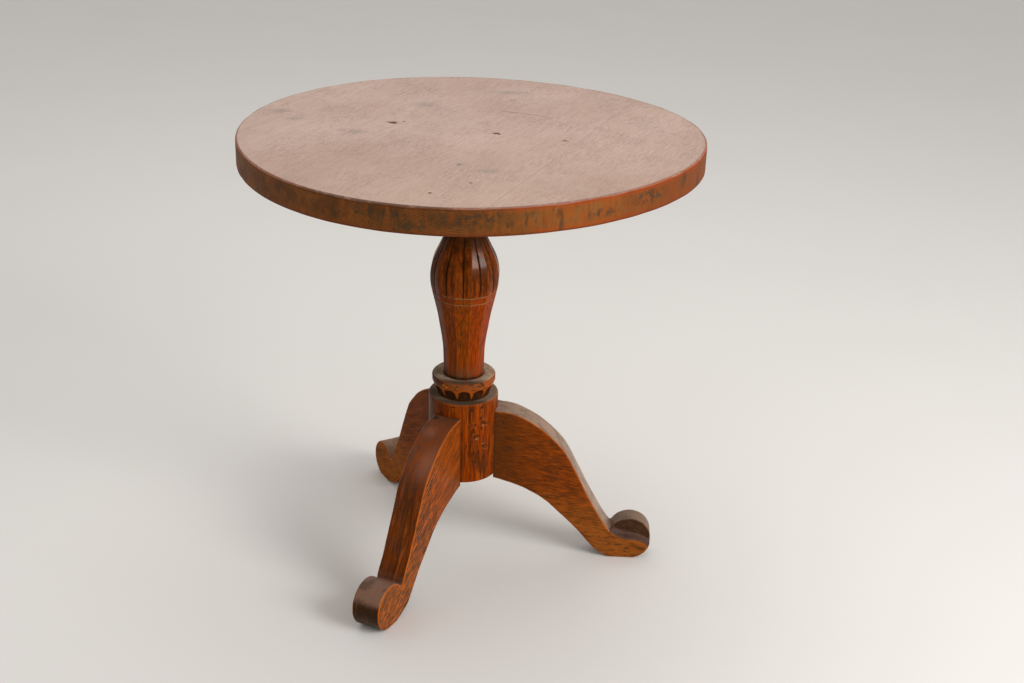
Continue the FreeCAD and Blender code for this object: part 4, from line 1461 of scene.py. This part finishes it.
def leg_material(place, settings):
    """Polished plank: figured sides, duller back, worn orange arrises."""
    sheet = new_sheet(LEG_NODES[place] + "_wood")
    look = {key: values[place] for key, values in LEG_LOOKS.items()}
    local = sheet.local(AXIS, math.radians(LEG_TURNS[place]))
    tilt = math.radians(LEG_GRAIN_TILTS[place])
    x, y, z = local.parts()
    along = x * math.cos(tilt) + z * math.sin(tilt)
    over = z * math.cos(tilt) - x * math.sin(tilt)
    run = sheet.whole(along, y, over) + (place * 0.9, place * 0.2, 0)
    streaks, _, pores = sheet.group("long_grain", run, look["stretch"], look["streaks"], 800)
    fine = sheet.group("long_grain", run + (0.3, 0.6, 0.2), look["fine"], 560, 1500)[0]
    mottle = (run * (0.35, 1, 1)).noise(60, 4, 0.62)
    colour = sheet.mix(z.step(0.13, 0.03), look["base"], look["low"])
    colour.lay(mottle.step(0.5, 0.66, 0, look["mottled"]), look["dark"])
    colour.lay(streaks.step(0.5, 0.66, 0, look["streaked"]), look["dark"])
    colour.lay(streaks.step(0.46, 0.32, 0, look["lit"]), look["bright"])
    colour.lay(fine.step(0.51, 0.63, 0, 0.65), look["dark"])
    colour.lay(fine.step(0.47, 0.36, 0, 0.55), look["bright"])
    colour.lay((x + mottle * 0.06).step(0.15, 0.075, 0, look["shade"]), (64, 38, 14))
    rim = (sheet.attribute("inside") + mottle * 0.2).step(0.42, 0.26)
    sway = (run * (0.25, 1, 1)).noise(90, 3)
    waves = sheet.sum("SINE", (over + sway * 0.009) * (math.tau / WAVE))
    dash = waves.step(0, 0.5) * (run * (0.45, 1, 1)).noise(190, 2).step(0.43, 0.5)
    zone = 0.35 + x.step(0.085, 0.125) * 0.65
    dash = dash * ((1 - rim) * (zone * look["dash"]))
    colour.lay(dash, settings.grime)
    colour.lay(pores * 0.4, settings.grime)
    colour.lay(rim * look["rubbed"], settings.rim)
    marks = blend_spots(local, LEG_MARKS[place], 1.2, 0.7)
    colour.lay(marks * 0.8, settings.grime)
    up = sheet.facing_up()
    half = LEG_HALVES[place]
    edge = abs(y).step(half - 0.0005, half - 0.0021)
    colour.lay(edge, leg_edges(place, look, local, x, up, settings))
    colour.lay(x.step(settings.shoulder + 0.006, settings.shoulder, 0, 0.6), settings.grime)
    rub = sheet.attribute("wear").step(0.35, 0.85) * local.noise(70, 3).step(0.3, 0.6, 0.4, 1)
    colour.lay(rub * 0.85, settings.rim)
    raw = sheet.attribute("raw")
    fibre = sheet.mix(fine.step(0.35, 0.6), settings.break_colour, (74, 48, 32))
    shelf = up.step(0.2, 0.6) * streaks.step(0.36, 0.6, 0.35, 1)
    fibre.lay(shelf, (82, 62, 58))
    colour.lay(raw, fibre)
    rough = streaks.step(0.3, 0.7, 0.32, 0.44) + dash * 0.15
    height = fine * -0.6 + streaks * -1.4 - pores.either(marks).either(dash) * 1.3
    height = height + raw * fine * 5
    return finish_wood(sheet, colour, rough, height, 0.00016, look["gloss"], 0, 0.22, WARM)


# Small pieces


def plain_wood(name, dark, light, turn=None, rough=0.6, relief=0.0002):
    """Sawn wood of one tone, its grain turned about Z or upright."""
    sheet = new_sheet(name)
    run = upright_coordinates(sheet) if turn is None else sheet.local((0, 0, 0), turn)
    streaks, fibres, pores = sheet.group("long_grain", run, 16, 70, 700)
    saw = (run * (1, 0.08, 0.3)).noise(300, 3, 0.6)
    colour = sheet.mix(streaks.step(0.35, 0.65), dark, light)
    colour.lay(pores * 0.5, (48, 32, 22))
    colour.lay(saw.step(0.5, 0.75, 0, 0.3), dark)
    return finish_wood(sheet, colour, saw.step(0.3, 0.7, rough - 0.06, rough + 0.08),
                       fibres * 0.6 + saw, relief)


def old_metal(name, bare, rust, metallic, rough):
    """Darkened iron or steel with rust in patches."""
    sheet = new_sheet(name)
    here = sheet.local()
    patch = sheet.group("patches", here, 500, 0.45, 0.6)
    return finish(sheet, here.noise(900, 3), 0.00012, {
        "Base Color": sheet.mix(patch, bare, rust), "Roughness": patch * 0.35 + rough,
        "Metallic": (1 - patch) * metallic})


def make_pegs(legs, pillar):
    """Six pegs, close to flush with the hub's face, from one worn peg."""
    nothing_selected()
    first = peg_body("peg", PEG_RADIUS, PEG_LENGTH, -0.0003)
    for vertex in first.data.vertices:
        if vertex.co.z > -0.003:
            vertex.co.z += 0.0002 * noise.noise(vertex.co * 500)
    pegs = []
    for spot in peg_matrices(legs, pillar):
        pick(first)
        bpy.ops.object.duplicate(linked=False)
        pegs.append(placed(named("peg_copy"), spot))
    bpy.data.objects.remove(first)
    group = joined("pegs", pegs)
    outwards(group)
    smooth(group, 35)
    return group


# Operators


class SIDE_TABLE_OT_top(Operator):
    """Models both boards of the top and gives them their wood"""
    bl_idname = "side_table.top"
    bl_label = "Top boards"

    def execute(self, context):
        settings = context.scene.side_table_top
        boards = make_boards(settings)
        for board, node, pith in zip(boards, TOP_NODES, PITHS):
            dress(board, top_material(node + "_wood", settings, pith, pith[1] * 7))
            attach(board, "root")
            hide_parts(node)
        return {"FINISHED"}


class SIDE_TABLE_OT_pillar(Operator):
    """Models the carved pillar and gives it its wood"""
    bl_idname = "side_table.pillar"
    bl_label = "Pillar"

    def execute(self, context):
        settings = context.scene.side_table_pillar
        body = make_pillar(settings, context.scene.side_table_legs)
        dress(body, pillar_material(settings))
        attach(body, "root")
        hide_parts("pillar")
        return {"FINISHED"}


class SIDE_TABLE_OT_legs(Operator):
    """Models the three scrolled legs and gives them their wood"""
    bl_idname = "side_table.legs"
    bl_label = "Legs"

    def execute(self, context):
        settings = context.scene.side_table_legs
        for place, node in enumerate(LEG_NODES):
            leg = make_leg(place, settings, context.scene.side_table_pillar)
            dress(leg, leg_material(place, settings))
            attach(leg, "root")
            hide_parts(node)
        return {"FINISHED"}


class SIDE_TABLE_OT_small(Operator):
    """Models the pegs and finishes the bearer, dowels, wedge, nail and screws"""
    bl_idname = "side_table.small"
    bl_label = "Pegs and fixings"

    def execute(self, context):
        pegs = make_pegs(context.scene.side_table_legs, context.scene.side_table_pillar)
        dress(pegs, plain_wood("peg_wood", (88, 38, 6), (132, 58, 8), 0, 0.55, 0.0003))
        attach(pegs, "root")
        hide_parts("leg_pegs")
        across = context.scene.side_table_top.grain - math.pi / 2
        for node, material in (
                ("bearer", plain_wood("bearer_wood", (92, 58, 34), (128, 86, 52), across)),
                ("top_dowels", plain_wood("dowel_wood", (120, 84, 50), (150, 110, 70), across)),
                ("tenon_wedge", plain_wood("wedge_wood", (104, 70, 40), (136, 96, 58))),
                ("leg_nail", old_metal("nail_iron", (52, 46, 42), (58, 36, 24), 0.8, 0.5)),
                ("bearer_screws", old_metal("screw_steel", (128, 122, 112), (88, 62, 44), 0.9,
                                            0.36))):
            dress(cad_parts[node], material)
        return {"FINISHED"}


class SIDE_TABLE_OT_stage(Operator):
    """Adds the floor, the surroundings, the lamps and the camera"""
    bl_idname = "side_table.stage"
    bl_label = "Stage"

    def execute(self, context):
        settings = context.scene.side_table_stage
        nothing_selected()
        bpy.ops.mesh.primitive_circle_add(vertices=128, radius=14, fill_type="NGON",
                                          location=(0, 0, 0))
        floor = named("floor")
        sheet = new_sheet("floor_plain")
        tone = sheet.mix(sheet.local().noise(3, 2), settings.floor,
                         tuple(min(1, value * 1.03) for value in settings.floor))
        dress(floor, finish_wood(sheet, tone, 0.85, sheet.local().noise(200), 0.0001, 0.2))
        world = bpy.data.worlds.new("surroundings")
        world.use_nodes = True
        back = world.node_tree.nodes["Background"]
        back.inputs["Color"].default_value = (1, 1, 1, 1)
        back.inputs["Strength"].default_value = settings.sky
        context.scene.world = world
        middle = Vector((0, 0, 0.35))
        for name, place, size, power in (("key", (2, -1.35, 1.5), 1.2, settings.key),
                                         ("overhead", (-0.3, 0.9, 2.6), 2, settings.fill)):
            bpy.ops.object.light_add(type="AREA", location=place)
            lamp = context.object
            lamp.name = name
            lamp.data.shape = "SQUARE"
            lamp.data.size = size
            lamp.data.energy = power
            lamp.rotation_euler = (middle - Vector(place)).to_track_quat("-Z", "Y").to_euler()
        camera = bpy.data.objects.new("camera", bpy.data.cameras.new("camera"))
        context.scene.collection.objects.link(camera)
        camera.data.sensor_width = 36
        camera.data.lens = settings.lens
        camera.data.clip_end = 100
        camera.matrix_world = (Matrix.Translation((0.1196, -1.8329, 1.1294))
                               @ Matrix.Rotation(math.radians(1.9179), 4, "Z")
                               @ Matrix.Rotation(math.radians(90 - 23.7257), 4, "X")
                               @ Matrix.Rotation(math.radians(1.4834), 4, "Z"))
        context.scene.camera = camera
        context.scene.view_settings.view_transform = "Standard"
        return {"FINISHED"}


class SIDE_TABLE_PT_panel(Panel):
    """Steps of the side table in the sidebar"""
    bl_label = "Side table"
    bl_space_type = "VIEW_3D"
    bl_region_type = "UI"
    bl_category = "Side table"

    def draw(self, context):
        for name, step in (("side_table_top", "side_table.top"),
                           ("side_table_pillar", "side_table.pillar"),
                           ("side_table_legs", "side_table.legs"),
                           (None, "side_table.small"), ("side_table_stage", "side_table.stage")):
            box = self.layout.box()
            if name:
                group = getattr(context.scene, name)
                for key in group.__annotations__:
                    box.prop(group, key)
            box.operator(step)


GROUP_SETTINGS = (("side_table_top", SideTableTop), ("side_table_pillar", SideTablePillar),
                  ("side_table_legs", SideTableLegs), ("side_table_stage", SideTableStage))
CLASSES = (SideTableTop, SideTablePillar, SideTableLegs, SideTableStage, SIDE_TABLE_OT_top,
           SIDE_TABLE_OT_pillar, SIDE_TABLE_OT_legs, SIDE_TABLE_OT_small, SIDE_TABLE_OT_stage,
           SIDE_TABLE_PT_panel)


def register():
    """Registers the classes and the scene's settings."""
    for cls in CLASSES:
        bpy.utils.register_class(cls)
    for name, cls in GROUP_SETTINGS:
        setattr(bpy.types.Scene, name, PointerProperty(type=cls))


def unregister():
    """Takes the classes and settings away again."""
    for name, cls in GROUP_SETTINGS:
        delattr(bpy.types.Scene, name)
    for cls in reversed(CLASSES):
        bpy.utils.unregister_class(cls)


def main():
    """Builds the table and the stage."""
    register()
    make_groups()
    bpy.ops.side_table.top()
    bpy.ops.side_table.pillar()
    bpy.ops.side_table.legs()
    bpy.ops.side_table.small()
    bpy.ops.side_table.stage()


if __name__ == "__main__":
    main()
